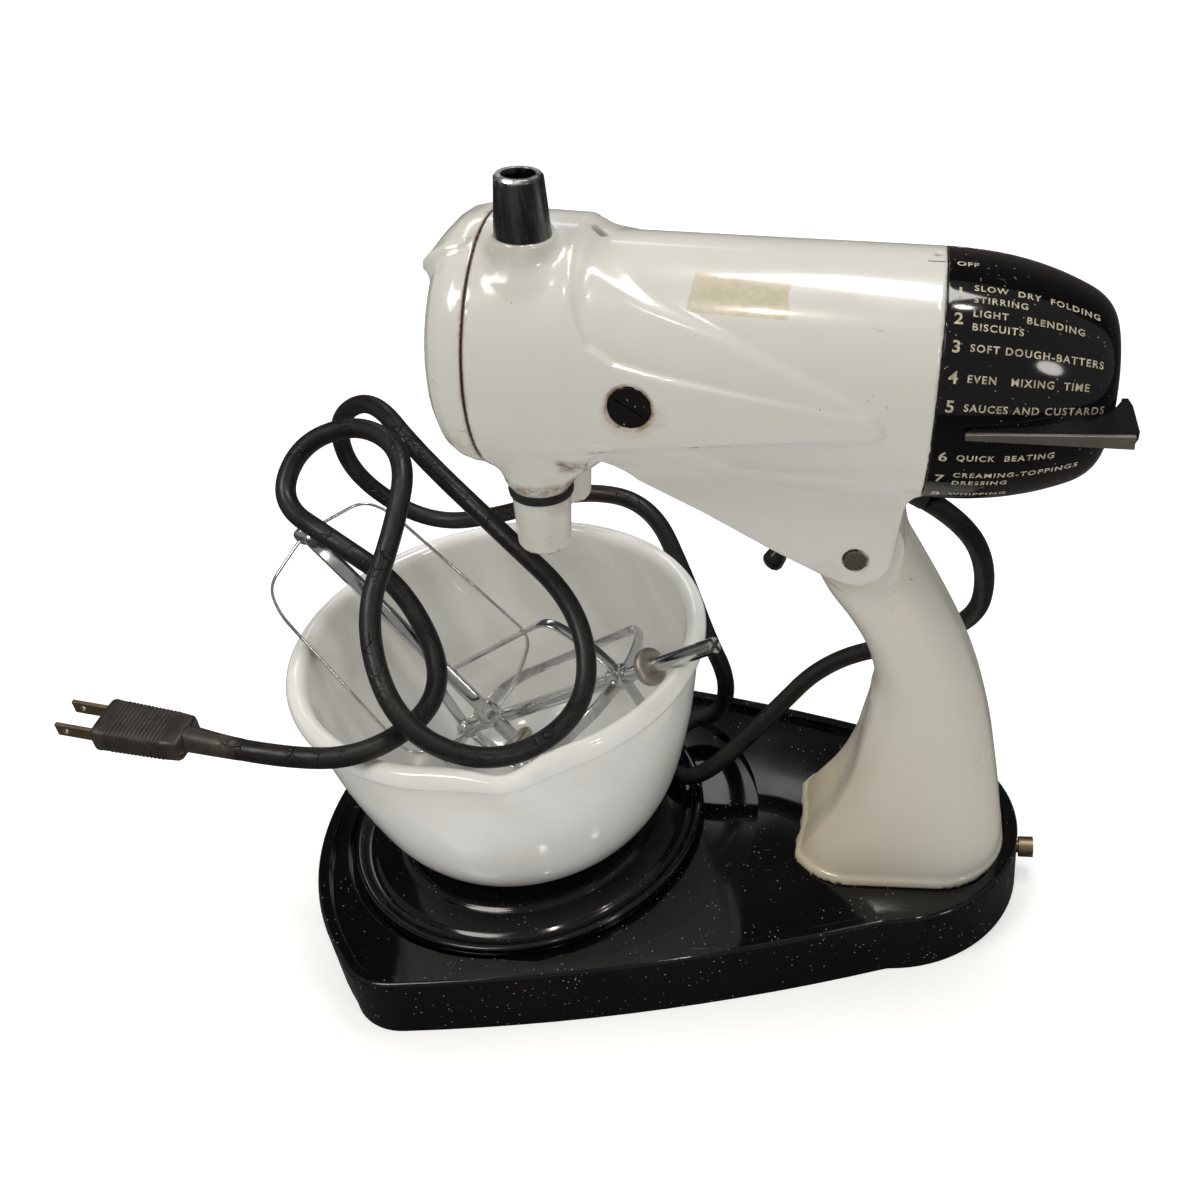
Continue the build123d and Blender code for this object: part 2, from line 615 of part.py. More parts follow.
# ---------------------------------------------------------------- cord and plug
# Control points of the cord, from the head to the plug; it is tangent to each run near the middle.
CORD_ROUTE = [
    (200.5, 0, 218.7), (217, 5, 204), (227, 15, 173), (224, 35, 131), (193, 50, 106), (150, 53, 90),
    (121, 44, 60), (85, 17, 36.6), (66, 29, 36.6), (61.5, 48, 36.6), (73, 65, 37), (92, 66, 42), (98, 61, 70),
    (89, 62, 98), (79, 75, 124), (61, 94, 159), (22, 98, 164), (-20, 105, 144), (-66, 107, 136),
    (-102, 107, 166), (-97.5, 96, 206.5), (-62.5, 73, 231.5), (-34, 45, 217), (10, 14, 194), (48, -4, 164),
    (56, -41, 137), (26, -78, 136), (-12, -82, 158), (-33, -48, 188), (-24, -16, 213), (-23.5, 14, 233.5),
    (-51.5, 34, 238.5), (-82.5, 32, 228.5), (-91, 14, 208), (-58, -6, 201), (-28, -10, 177), (-5, -42, 146),
    (-24, -88, 149), (-66, -92, 152), (-101.3, -86.3, 155.8),
]
PLUG_AXIS = Vector(-0.988, 0.060, 0.133).normalized()
BLADE_AXIS = (Vector(0.044, 0.992, 0.116) - PLUG_AXIS * Vector(0.044, 0.992, 0.116).dot(PLUG_AXIS)).normalized()
BLADE_SPACING = 12.7
PLUG_LENGTH = 37.0


def route_radii():
    """Largest bend radius at each corner that leaves a short straight in every run."""
    radii = []
    for before, here, after in zip(CORD_ROUTE, CORD_ROUTE[1:], CORD_ROUTE[2:]):
        first = Vector(*here) - Vector(*before)
        second = Vector(*after) - Vector(*here)
        turn = math.radians(first.get_angle(second))
        radii.append(0.45 * min(first.length, second.length) / math.tan(turn / 2))
    return radii


def make_cord():
    radii = route_radii()
    path = FilletPolyline(*CORD_ROUTE, radius=radii)
    section = Plane(origin=path @ 0, z_dir=path % 0) * Circle(CORD_DIAMETER / 2)
    cord = sweep(section, path)
    expected = math.pi * (CORD_DIAMETER / 2) ** 2 * path.length
    print("cord length", round(path.length, 1), "volume ratio", round(cord.volume / expected, 4))
    print("cord radii", [round(radius, 1) for radius in radii])
    return cord


def plug_plane(distance):
    origin = Vector(*CORD_ROUTE[-1]) + PLUG_AXIS * (distance + 0.85)
    return Plane(origin=origin, x_dir=BLADE_AXIS, z_dir=PLUG_AXIS)


def make_plug_body():
    rear = plug_plane(0) * RectangleRounded(19, 15, 4)
    front = plug_plane(PLUG_LENGTH) * RectangleRounded(25, 16.5, 4)
    body = loft([rear, front])
    for side in (-1, 1):
        blade = Box(1.6, 6.4, 12)
        body -= plug_plane(PLUG_LENGTH - 6) * Pos(side * BLADE_SPACING / 2, 0, 0) * blade
    return body


def make_plug_blades():
    blades = None
    for side in (-1, 1):
        blade = Pos(side * BLADE_SPACING / 2, 0, 3) * Box(1.6, 6.4, 29.5)
        blade -= Pos(side * BLADE_SPACING / 2, 0, 13.5) * Rot(0, 90, 0) * Cylinder(1.6, 6)
        blade = plug_plane(PLUG_LENGTH) * blade
        blades = blade if blades is None else blades + blade
    return blades


def make_all():
    keep("base_casting", make_base())
    keep("rear_screw", make_rear_screw())
    keep("column", make_column())
    keep("column_bolts", make_column_bolts())
    keep("rubber_feet", make_feet())
    keep("hinge_pin", rod_y(HINGE_X, HINGE_Z, HINGE_PIN_RADIUS, -26.8, 26.8))
    keep("carrier_plate", make_carrier_plate())
    keep("pivot_post", make_pivot_post())
    keep("turntable", make_turntable())
    keep("bowl", make_bowl())
    make_beater("beater_a", BEATER_A_END, BEATER_A_TIP, BEATER_A_ROLL)
    make_beater("beater_b", BEATER_B_END, BEATER_B_TIP, BEATER_B_ROLL)
    keep_head("head_housing", make_housing())
    keep_head("nose_cap", make_nose_cap())
    keep_head("cord_gland", make_gland())
    keep_head("worm", make_worm())
    for label, side, top in (("near", -1, 327.8), ("far", 1, 308.0)):
        y = side * SPINDLE_Y
        gear = Pos(SPINDLE_X, y, AXIS_Z) * gear_blank(90 if side < 0 else 90 + 9)
        keep_head("worm_gear_" + label, gear)
        keep_head("spindle_" + label, make_spindle(side, top))
        keep_head("lower_bush_" + label, rod_z(SPINDLE_X, y, 9.0, 204, 216) - rod_z(SPINDLE_X, y, 7.05, 190, 230))
        low, high = (316.0, 328.0) if side < 0 else (297.0, 307.0)
        keep_head("upper_bush_" + label,
                  rod_z(SPINDLE_X, y, 8.0, low, high) - rod_z(SPINDLE_X, y, SHAFT_RADIUS + RUNNING, 280, 345))
        keep_head("brush_" + label, make_brush(side))
        keep_head("brush_holder_" + label, make_brush_holder(side))
        keep_head("brush_cap_" + label, make_plug_cap(side))
    ring = turned_z([(12.0, 222.2), (12.9, 222.2), (13.2, 224.0), (12.9, 225.8), (12.0, 225.8)], SPINDLE_X, -SPINDLE_Y)
    keep_head("oil_ring", ring)
    keep_head("juicer_cone", turned_z([
        (JUICER_BORE_RADIUS, JUICER_BASE_Z), (10.4, JUICER_BASE_Z), (8.8, JUICER_TOP_Z - 1), (8.0, JUICER_TOP_Z),
        (JUICER_BORE_RADIUS, JUICER_TOP_Z)], SPINDLE_X, -SPINDLE_Y))
    shaft = ring_x(18.5, 58, SHAFT_FRONT_RADIUS) + ring_x(58, 187.5, SHAFT_RADIUS) + ring_x(187.5, 198, 3.0)
    keep_head("armature_shaft", shaft)
    keep_head("front_bush", ring_x(14, 26, 7.0, SHAFT_FRONT_RADIUS + RUNNING))
    keep_head("middle_bush", ring_x(58.5, 66, 9.0, SHAFT_RADIUS + RUNNING))
    keep_head("rear_bush", ring_x(177, 186.5, 8.0, SHAFT_RADIUS + RUNNING))
    keep_head("armature_core", make_armature_core())
    keep_head("armature_windings", ring_x(96, 107.9, 19.5, SHAFT_RADIUS) + ring_x(150.1, 162, 19.5, SHAFT_RADIUS))
    keep_head("commutator", make_commutator())
    keep_head("cooling_fan", make_fan())
    keep_head("governor", make_governor())
    keep_head("field_stack", make_field_stack())
    keep_head("field_coils", make_field_coils())
    keep_head("field_screws", make_field_screws())
    keep_head("end_bracket", make_end_bracket())
    keep_head("dial_hub", make_dial_hub())
    keep_head("speed_dial", make_dial())
    keep_head("dial_tab", make_dial_tab())
    keep_head("dial_tab_trim", make_dial_trim())
    keep_head("dial_medallion", ring_x(DIAL_END_X, DIAL_END_X + 2.0, 17.0))
    keep_head("head_latch", make_latch())
    keep_head("latch_knob", make_latch_knob())
    keep("cord", make_cord())
    keep("plug_body", make_plug_body())
    keep("plug_blades", make_plug_blades())
    keep_head("latch_pin", rod_y(LATCH_X, LATCH_Z, 2.0, -25.8, 25.8))


def main():
    os.makedirs("parts", exist_ok=True)
    make_all()
    for name, shape in PARTS.items():
        solids = shape.solids()
        export_step(Compound(children=list(solids)) if len(solids) > 1 else solids[0], f"parts/{name}.step")


main()
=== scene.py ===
"""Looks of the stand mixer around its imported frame.

The mixer is drawn in millimetres, and MM turns it into metres. All else is in metres.
"""
import math

import bpy
import numpy as np
from mathutils import Matrix, Vector


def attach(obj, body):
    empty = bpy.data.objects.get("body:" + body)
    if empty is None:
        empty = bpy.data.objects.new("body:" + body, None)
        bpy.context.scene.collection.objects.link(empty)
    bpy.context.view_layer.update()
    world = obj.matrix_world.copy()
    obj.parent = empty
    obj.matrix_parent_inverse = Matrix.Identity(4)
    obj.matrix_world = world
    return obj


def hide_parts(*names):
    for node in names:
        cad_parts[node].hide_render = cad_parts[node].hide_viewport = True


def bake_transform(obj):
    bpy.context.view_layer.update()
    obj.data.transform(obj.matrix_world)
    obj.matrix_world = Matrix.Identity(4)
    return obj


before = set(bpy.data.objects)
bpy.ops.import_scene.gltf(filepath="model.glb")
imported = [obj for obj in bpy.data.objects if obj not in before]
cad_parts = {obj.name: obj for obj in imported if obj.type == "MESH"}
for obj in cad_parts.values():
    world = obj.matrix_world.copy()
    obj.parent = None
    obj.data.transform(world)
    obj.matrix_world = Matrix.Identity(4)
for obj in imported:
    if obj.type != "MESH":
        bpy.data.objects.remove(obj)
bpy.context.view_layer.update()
MM = 0.001
# The head is drawn level: its hinge line (x, z), its nose-up lean at rest, and the height of its motor axis.
HINGE = (172.0, 206.6)
INCLINE = math.radians(6.0)
AXIS_Z = 278.8


def add_object(name, data):
    obj = bpy.data.objects.new(name, data)
    bpy.context.scene.collection.objects.link(obj)
    return obj


# -------------------- camera
def make_camera():
    yaw, pitch, roll = math.radians(-9.41), math.radians(-35.43), math.radians(-4.9)
    forward = Vector((math.sin(yaw) * math.cos(pitch), math.cos(yaw) * math.cos(pitch), math.sin(pitch)))
    right = Vector((math.cos(yaw), -math.sin(yaw), 0))
    up = right.cross(forward)
    x_axis = right * math.cos(roll) + up * math.sin(roll)
    y_axis = up * math.cos(roll) - right * math.sin(roll)
    data = bpy.data.cameras.new("camera")
    data.sensor_width = 36.0
    data.lens = 38.23
    data.shift_x = -0.1258
    data.shift_y = -0.0132
    data.clip_start = 0.01
    camera = add_object("camera", data)
    matrix = Matrix((x_axis, y_axis, -forward)).transposed().to_4x4()
    matrix.translation = Vector((0.19862, -0.44705, 0.49794))
    camera.matrix_world = matrix
    bpy.context.scene.camera = camera


# -------------------- node helpers
class Mat:
    """Small builder around one material's node tree."""

    def __init__(self, name):
        self.material = bpy.data.materials.new(name)
        self.material.use_nodes = True
        self.tree = self.material.node_tree
        self.tree.nodes.clear()
        self.out = self.node("OutputMaterial")
        self.shader = self.node("BsdfPrincipled")
        self.link(self.shader.outputs["BSDF"], self.out, "Surface")
        self.pos = self.node("TexCoord").outputs["Object"]

    def node(self, kind, **values):
        node = self.tree.nodes.new("ShaderNode" + kind)
        for key, value in values.items():
            setattr(node, key, value)
        return node

    def link(self, output, node, socket):
        self.tree.links.new(output, node.inputs[socket])

    def put(self, node, socket, value):
        """Gives a socket a number, a colour or another node's output."""
        if isinstance(value, (int, float)):
            node.inputs[socket].default_value = value
        elif isinstance(value, tuple):
            node.inputs[socket].default_value = (*value, 1.0)
        else:
            self.link(value, node, socket)

    def noise(self, scale, detail=4.0, rough=0.55, distort=0.0, vector=None):
        node = self.node("TexNoise")
        numbers = {"Scale": scale, "Detail": detail, "Roughness": rough, "Distortion": distort}
        for socket, number in numbers.items():
            node.inputs[socket].default_value = number
        self.link(vector or self.pos, node, "Vector")
        return node.outputs["Fac"]

    def voronoi(self, scale, feature="F1"):
        node = self.node("TexVoronoi", feature=feature)
        node.inputs["Scale"].default_value = scale
        self.link(self.pos, node, "Vector")
        return node.outputs["Distance"]

    def ramp(self, value, low, high, a=0.0, b=1.0):
        """a up to low, b from high on, and a straight run between them."""
        node = self.node("MapRange", clamp=True)
        for socket, number in enumerate((low, high, a, b), 1):
            node.inputs[socket].default_value = number
        self.link(value, node, 0)
        return node.outputs[0]

    def math(self, operation, a, b=None):
        node = self.node("Math", operation=operation)
        self.put(node, 0, a)
        if b is not None:
            self.put(node, 1, b)
        return node.outputs[0]

    def times(self, a, b):
        return self.math("MULTIPLY", a, b)

    def plus(self, a, b):
        return self.math("ADD", a, b)

    def minus(self, a, b):
        return self.math("SUBTRACT", a, b)

    def mix(self, share, a, b):
        node = self.node("Mix", data_type="RGBA")
        for socket, value in ((0, share), (6, a), (7, b)):
            self.put(node, socket, value)
        return node.outputs[2]

    def scaled(self, scale, turn=(0, 0, 0)):
        node = self.node("Mapping")
        node.inputs["Scale"].default_value = scale
        node.inputs["Rotation"].default_value = turn
        self.link(self.pos, node, "Vector")
        return node.outputs[0]

    def axis(self, name):
        node = self.node("SeparateXYZ")
        self.link(self.pos, node, 0)
        return node.outputs[name]

    def level(self):
        """Level head coordinates x and z in metres, from the resting position."""
        c, s = math.cos(INCLINE), math.sin(INCLINE)
        dx = self.minus(self.axis("X"), HINGE[0] * MM)
        dz = self.minus(self.axis("Z"), HINGE[1] * MM)
        x = self.minus(self.times(dx, c), self.times(dz, s))
        z = self.plus(self.times(dx, s), self.times(dz, c))
        return self.plus(x, HINGE[0] * MM), self.plus(z, HINGE[1] * MM)

    def band(self, value, low, high, soft):
        """1 between low and high, 0 outside, with soft edges."""
        rise = self.ramp(value, low - soft, low + soft)
        return self.times(rise, self.ramp(value, high - soft, high + soft, 1.0, 0.0))

    def near(self, point, inner, outer):
        """1 inside the inner radius of a point, 0 beyond the outer."""
        node = self.node("VectorMath", operation="DISTANCE")
        self.link(self.pos, node, 0)
        node.inputs[1].default_value = point
        return self.ramp(node.outputs["Value"], inner, outer, 1.0, 0.0)

    def scratches(self, scale, turn=(0.3, 0.2, 0.7)):
        vector = self.scaled((1.0, 14.0, 14.0), turn)
        return self.ramp(self.noise(scale, 3.0, 0.6, 0.0, vector), 0.70, 0.735)

    def set(self, **values):
        for key, value in values.items():
            self.put(self.shader, key.replace("_", " "), value)

    def bump(self, height, strength, distance, bevel=0.0):
        node = self.node("Bump")
        node.inputs["Strength"].default_value = strength
        node.inputs["Distance"].default_value = distance
        self.link(height, node, "Height")
        if bevel:
            edge = self.node("Bevel", samples=4)
            edge.inputs["Radius"].default_value = bevel
            self.link(edge.outputs[0], node, "Normal")
        self.link(node.outputs[0], self.shader, "Normal")


# -------------------- materials
# Marks on the housing, in level head coordinates.
CAP_SEAM_X = 0.0252
LABEL_X, LABEL_Z = (0.1045, 0.1400), (0.3107, 0.3196)
INDEX_X, INDEX_Y, INDEX_Z = (0.1872, 0.1936), (-0.00645, -0.0059), (0.31, 0.312)
HOOD_EDGE_X, HOOD_EDGE_RISE, HOOD_EDGE_Z = 0.072, 0.158, 0.2562


def seam_stain(m, color, level_x, seam_x):
    """Dirt in the gap between the nose cap and the housing."""
    along = m.math("ABSOLUTE", m.minus(level_x, seam_x))
    ragged = m.plus(along, m.ramp(m.noise(170.0, 5.0, 0.7), 0.2, 0.8, -0.0011, 0.0009))
    stain = m.ramp(ragged, 0.0002, 0.0021, 0.85, 0.0)
    stain = m.times(stain, m.ramp(m.noise(45.0, 4.0), 0.42, 0.62, 0.15, 1.0))
    color = m.mix(stain, color, (0.20, 0.10, 0.045))
    tight = m.ramp(along, 0.0005, 0.0011, 1.0, 0.0)
    return m.mix(tight, color, (0.085, 0.045, 0.025))


def housing_marks(m, color, level_x, level_z):
    """Paper label, index line at the dial, chipped hood edge, and dirt and rust at the sockets."""
    wobble = m.ramp(m.noise(90.0, 4.0, 0.6), 0.3, 0.7, -0.0014, 0.0014)
    label = m.times(m.band(m.plus(level_x, m.times(wobble, 0.6)), *LABEL_X, 0.0002),
                    m.band(m.plus(level_z, m.times(wobble, 0.35)), *LABEL_Z, 0.0002))
    label = m.times(label, m.ramp(m.axis("Y"), -0.001, 0.001, 1.0, 0.0))
    paper = m.mix(m.ramp(m.noise(260.0, 5.0, 0.7), 0.35, 0.7), (0.60, 0.555, 0.43), (0.50, 0.455, 0.34))
    color = m.mix(label, color, paper)
    index = m.times(m.band(level_x, *INDEX_X, 0.0001), m.band(m.axis("Y"), *INDEX_Y, 0.00008))
    index = m.times(index, m.ramp(level_z, *INDEX_Z))
    color = m.mix(index, color, (0.03, 0.028, 0.025))
    edge_z = m.plus(m.times(m.minus(level_x, HOOD_EDGE_X), HOOD_EDGE_RISE), HOOD_EDGE_Z)
    gap = m.math("ABSOLUTE", m.minus(m.plus(level_z, m.times(wobble, 0.4)), edge_z))
    chip = m.times(m.ramp(gap, 0.0004, 0.0012, 1.0, 0.0), m.band(level_x, HOOD_EDGE_X, 0.118, 0.006))
    chip = m.times(chip, m.ramp(m.noise(240.0, 5.0, 0.7), 0.46, 0.58))
    color = m.mix(chip, color, (0.10, 0.06, 0.035))
    shade = m.times(m.band(level_z, 0.238, 0.2485, 0.002), m.band(level_x, 0.055, 0.0665, 0.0012))
    shade = m.times(shade, m.ramp(m.noise(150.0, 5.0, 0.7), 0.35, 0.6))
    color = m.mix(m.times(shade, 0.8), color, (0.12, 0.07, 0.04))
    rust = m.times(m.band(level_z, 0.2270, 0.2318, 0.0018), m.band(level_x, 0.026, 0.064, 0.003))
    rust = m.times(rust, m.ramp(m.noise(190.0, 6.0, 0.72), 0.38, 0.60, 0.0, 0.9))
    return m.mix(rust, color, (0.16, 0.085, 0.04))


def yellowed_foot(m, color):
    """Yellowing low on the front of the column."""
    low = m.ramp(m.axis("Z"), 0.030, 0.110, 0.75, 0.0)
    front = m.ramp(m.axis("X"), 0.205, 0.150, 0.0, 1.0)
    foot = m.times(m.times(low, front), m.ramp(m.noise(22.0, 5.0), 0.3, 0.7, 0.35, 1.0))
    return m.mix(foot, color, (0.70, 0.56, 0.36))


def enamel(name, base=(0.665, 0.66, 0.63), seam_x=None):
    m = Mat(name)
    blotch = m.ramp(m.noise(9.0, 5.0, 0.6), 0.35, 0.72)
    color = m.mix(blotch, base, tuple(c * f for c, f in zip(base, (0.965, 0.95, 0.90))))
    haze = m.ramp(m.noise(38.0, 6.0, 0.65), 0.55, 0.80, 0.0, 0.30)
    color = m.mix(haze, color, (0.66, 0.60, 0.46))
    specks = m.ramp(m.voronoi(240.0), 0.035, 0.075, 1.0, 0.0)
    specks = m.times(specks, m.ramp(m.noise(31.0, 2.0), 0.60, 0.66))
    color = m.mix(specks, color, (0.09, 0.055, 0.03))
    rough = m.ramp(m.noise(60.0, 5.0), 0.3, 0.8, 0.15, 0.30)
    if seam_x is not None:
        level_x, level_z = m.level()
        color = seam_stain(m, color, level_x, seam_x)
    if name == "enamel_housing":
        color = housing_marks(m, color, level_x, level_z)
    for point, inner, outer, tint, amount in STAINS[name]:
        spot = m.near(point, inner, outer)
        spot = m.times(spot, m.ramp(m.noise(130.0, 6.0, 0.7), 0.38, 0.66, 0.15, amount))
        color = m.mix(spot, color, tint)
    if name == "enamel_column":
        color = yellowed_foot(m, color)
    marks = m.times(m.scratches(26.0), m.ramp(m.noise(12.0), 0.50, 0.57))
    color = m.mix(m.times(marks, 0.75), color, (0.22, 0.19, 0.15))
    m.set(Base_Color=color, Roughness=rough, Metallic=0.0, IOR=1.5, Coat_Weight=0.5, Coat_Roughness=0.08)
    wave = m.plus(m.noise(24.0, 3.0), m.times(specks, -0.6))
    m.bump(wave, 0.10, 0.0008)
    return m.material


# Spots on each enamel: centre, inner and outer radius, colour and strength.
STAINS = {
    "enamel_housing": (
        ((0.0938, -0.0455, 0.2872), 0.0091, 0.0106, (0.20, 0.115, 0.055), 1.6),
        ((0.0932, -0.0455, 0.2850), 0.0085, 0.0120, (0.42, 0.30, 0.16), 0.5),
        ((0.1085, -0.0455, 0.2860), 0.0004, 0.0024, (0.15, 0.085, 0.04), 1.4),
        ((0.103, -0.0465, 0.284), 0.001, 0.006, (0.22, 0.13, 0.06), 0.8),
        ((0.0505, -0.0193, 0.2365), 0.004, 0.013, (0.24, 0.12, 0.05), 0.85),
        ((0.0622, -0.020, 0.236), 0.004, 0.012, (0.18, 0.09, 0.04), 0.9),
        ((0.0535, -0.0193, 0.338), 0.006, 0.016, (0.30, 0.22, 0.12), 0.7),
        ((0.160, -0.026, 0.200), 0.001, 0.008, (0.45, 0.33, 0.20), 0.35),
        ((0.172, -0.0262, 0.2066), 0.0050, 0.0058, (0.03, 0.02, 0.015), 1.6),
        ((0.043, -0.0193, 0.215), 0.006, 0.019, (0.50, 0.38, 0.20), 0.35),
    ),
    "enamel_cap": (
        ((0.0085, -0.028, 0.335), 0.002, 0.016, (0.10, 0.08, 0.06), 0.8),
        ((0.0105, 0.0, 0.341), 0.002, 0.020, (0.16, 0.13, 0.10), 0.5),
        ((0.016, -0.040, 0.262), 0.003, 0.022, (0.52, 0.40, 0.22), 0.5),
    ),
    "enamel_column": (
        ((0.163, -0.020, 0.196), 0.003, 0.014, (0.45, 0.32, 0.16), 0.6),
        ((0.152, -0.016, 0.100), 0.006, 0.030, (0.60, 0.47, 0.28), 0.5),
    ),
}


def glossy_black(name, base=(0.0022, 0.0022, 0.0026), rough=0.055, dust=1.0):
    m = Mat(name)
    film = m.ramp(m.noise(14.0, 6.0, 0.65), 0.50, 0.85, 0.0, 0.035 * dust)
    color = m.mix(film, base, (0.13, 0.12, 0.10))
    grain = m.ramp(m.voronoi(340.0), 0.06, 0.13, 1.0, 0.0)
    grain = m.times(grain, m.ramp(m.noise(38.0, 3.0), 0.44, 0.56))
    color = m.mix(m.times(grain, min(1.0, 0.9 * dust)), color, (0.46, 0.42, 0.34))
    hair = m.times(m.scratches(36.0, (0.1, 0.0, 0.9)), m.ramp(m.noise(9.0), 0.5, 0.6))
    color = m.mix(m.times(hair, 0.35 * dust), color, (0.22, 0.21, 0.20))
    patchy = m.ramp(m.noise(30.0, 5.0, 0.6), 0.35, 0.8, rough, rough + 0.09)
    roughness = m.plus(patchy, m.times(grain, 0.3))
    m.set(Base_Color=color, Roughness=roughness, IOR=1.5, Specular_IOR_Level=0.40,
          Coat_Weight=0.12, Coat_Roughness=0.04)
    m.bump(m.plus(m.noise(18.0, 2.0), m.times(grain, 0.15)), 0.06, 0.0008, 0.0006)
    return m.material


def metal(name, base, rough, tarnish=(0.20, 0.15, 0.10), amount=0.35, brushed=0.0):
    m = Mat(name)
    patch = m.ramp(m.noise(70.0, 6.0, 0.7), 0.50, 0.74, 0.0, amount)
    color = m.mix(patch, base, tarnish)
    pits = m.ramp(m.voronoi(520.0), 0.06, 0.13, 1.0, 0.0)
    pits = m.times(pits, m.ramp(m.noise(90.0, 3.0), 0.56, 0.66))
    color = m.mix(m.times(pits, min(1.0, amount * 1.6)), color, tuple(c * 0.35 for c in tarnish))
    lines = m.noise(420.0, 3.0, 0.6, 0.0, m.scaled((0.05, 1.0, 1.0)))
    worn = m.ramp(m.noise(110.0, 4.0), 0.3, 0.8, rough, rough + 0.18)
    roughness = m.plus(worn, m.times(patch, 0.35))
    m.set(Base_Color=color, Roughness=roughness, Metallic=1.0)
    height = m.plus(m.times(lines, brushed), m.times(m.noise(150.0, 3.0), 0.4))
    m.bump(height, 0.25, 0.00012, 0.0003)
    return m.material


def rubber(name, brown, base=(0.013, 0.0125, 0.012), crack=1.0):
    m = Mat(name)
    dusty = m.ramp(m.noise(42.0, 7.0, 0.7), 0.44, 0.70, 0.0, brown)
    color = m.mix(dusty, base, (0.080, 0.061, 0.042))
    fine = m.ramp(m.noise(420.0, 4.0, 0.7), 0.5, 0.75, 0.0, 0.22)
    color = m.mix(fine, color, (0.020, 0.018, 0.016))
    cells = m.node("TexVoronoi", feature="DISTANCE_TO_EDGE")
    cells.inputs["Scale"].default_value = 120.0
    warp = m.node("VectorMath", operation="ADD")
    shift = m.node("TexNoise")
    shift.inputs["Scale"].default_value = 90.0
    m.link(m.pos, shift, "Vector")
    small = m.node("VectorMath", operation="SCALE")
    small.inputs["Scale"].default_value = 0.006
    m.link(shift.outputs["Color"], small, 0)
    m.link(m.pos, warp, 0)
    m.link(small.outputs[0], warp, 1)
    m.link(warp.outputs[0], cells, "Vector")
    cracks = m.ramp(cells.outputs["Distance"], 0.0, 0.035, 1.0, 0.0)
    cracks = m.times(cracks, m.ramp(m.noise(48.0, 3.0), 0.52, 0.60, 0.0, crack))
    color = m.mix(cracks, color, (0.003, 0.003, 0.003))
    m.set(Base_Color=color, Roughness=m.ramp(m.noise(60.0, 5.0), 0.3, 0.75, 0.30, 0.55), IOR=1.5,
          Specular_IOR_Level=0.42)
    height = m.minus(m.times(m.noise(300.0, 4.0, 0.7), 0.35), cracks)
    height = m.plus(height, m.times(m.noise(55.0, 3.0, 0.6), 1.6))
    m.bump(height, 0.75, 0.0006)
    return m.material


def milk_glass(name):
    m = Mat(name)
    swirl = m.ramp(m.noise(13.0, 4.0, 0.5, 1.4), 0.42, 0.64)
    color = m.mix(m.times(swirl, 0.8), (0.85, 0.85, 0.83), (0.77, 0.755, 0.72))
    grime = m.ramp(m.noise(34.0, 6.0, 0.65), 0.55, 0.82, 0.0, 0.35)
    color = m.mix(grime, color, (0.72, 0.66, 0.52))
    specks = m.ramp(m.voronoi(260.0), 0.03, 0.07, 1.0, 0.0)
    specks = m.times(specks, m.ramp(m.noise(60.0, 2.0), 0.66, 0.71))
    color = m.mix(m.times(specks, 0.7), color, (0.25, 0.14, 0.08))
    m.set(Base_Color=color, Roughness=m.ramp(m.noise(50.0, 4.0), 0.3, 0.8, 0.06, 0.18), IOR=1.52,
          Coat_Weight=0.4, Coat_Roughness=0.03, Subsurface_Weight=0.5, Subsurface_Scale=0.007)
    m.shader.inputs["Subsurface Radius"].default_value = (1.0, 1.0, 1.0)
    m.bump(m.noise(20.0, 3.0), 0.08, 0.001)
    return m.material


def pebbled(name):
    m = Mat(name)
    grain = m.voronoi(900.0, "SMOOTH_F1")
    wear = m.ramp(m.noise(45.0, 5.0), 0.5, 0.75, 0.0, 0.4)
    m.set(Base_Color=m.mix(wear, (0.0055, 0.0058, 0.007), (0.018, 0.018, 0.020)),
          Roughness=m.ramp(m.noise(80.0, 4.0), 0.3, 0.8, 0.26, 0.42), IOR=1.5, Specular_IOR_Level=0.32)
    m.bump(grain, 0.4, 0.0004, 0.0006)
    return m.material


def printed(name):
    m = Mat(name)
    tint = (0.62, 0.56, 0.40)
    worn = m.ramp(m.noise(700.0, 4.0, 0.7), 0.40, 0.62)
    m.set(Base_Color=m.mix(worn, tuple(c * 0.45 for c in tint), tint), Roughness=0.5)
    return m.material


def plain(name, base, rough, metallic=0.0):
    m = Mat(name)
    dark = m.ramp(m.noise(80.0, 5.0, 0.65), 0.35, 0.75)
    grain = m.ramp(m.noise(420.0, 3.0), 0.45, 0.75, 0.0, 0.3)
    color = m.mix(m.times(dark, 0.35), base, tuple(c * 0.4 for c in base))
    m.set(Base_Color=m.mix(grain, color, tuple(c * 0.6 for c in base)), Metallic=metallic,
          Roughness=m.ramp(m.noise(130.0, 4.0), 0.3, 0.8, rough, rough + 0.2))
    m.bump(m.noise(350.0, 3.0), 0.2, 0.0002, 0.0004)
    return m.material


def cone_metal(name):
    m = Mat(name)
    z = m.axis("Z")
    # The top band is a painted highlight: its colour is made bright to stand in for the light its top edge
    # catches from above.
    top = m.ramp(m.plus(z, m.ramp(m.noise(260.0, 4.0), 0.3, 0.7, -0.0012, 0.0012)), 0.3618, 0.3636)
    streak = m.ramp(m.noise(330.0, 4.0, 0.6, 0.0, m.scaled((1.0, 1.0, 0.12))), 0.38, 0.72)
    color = m.mix(streak, (0.060, 0.060, 0.066), (0.20, 0.196, 0.196))
    color = m.mix(top, color, (0.72, 0.71, 0.70))
    m.set(Base_Color=color, Metallic=1.0, Roughness=m.ramp(m.noise(200.0, 4.0), 0.3, 0.8, 0.22, 0.42))
    m.bump(streak, 0.2, 0.0002, 0.0003)
    return m.material


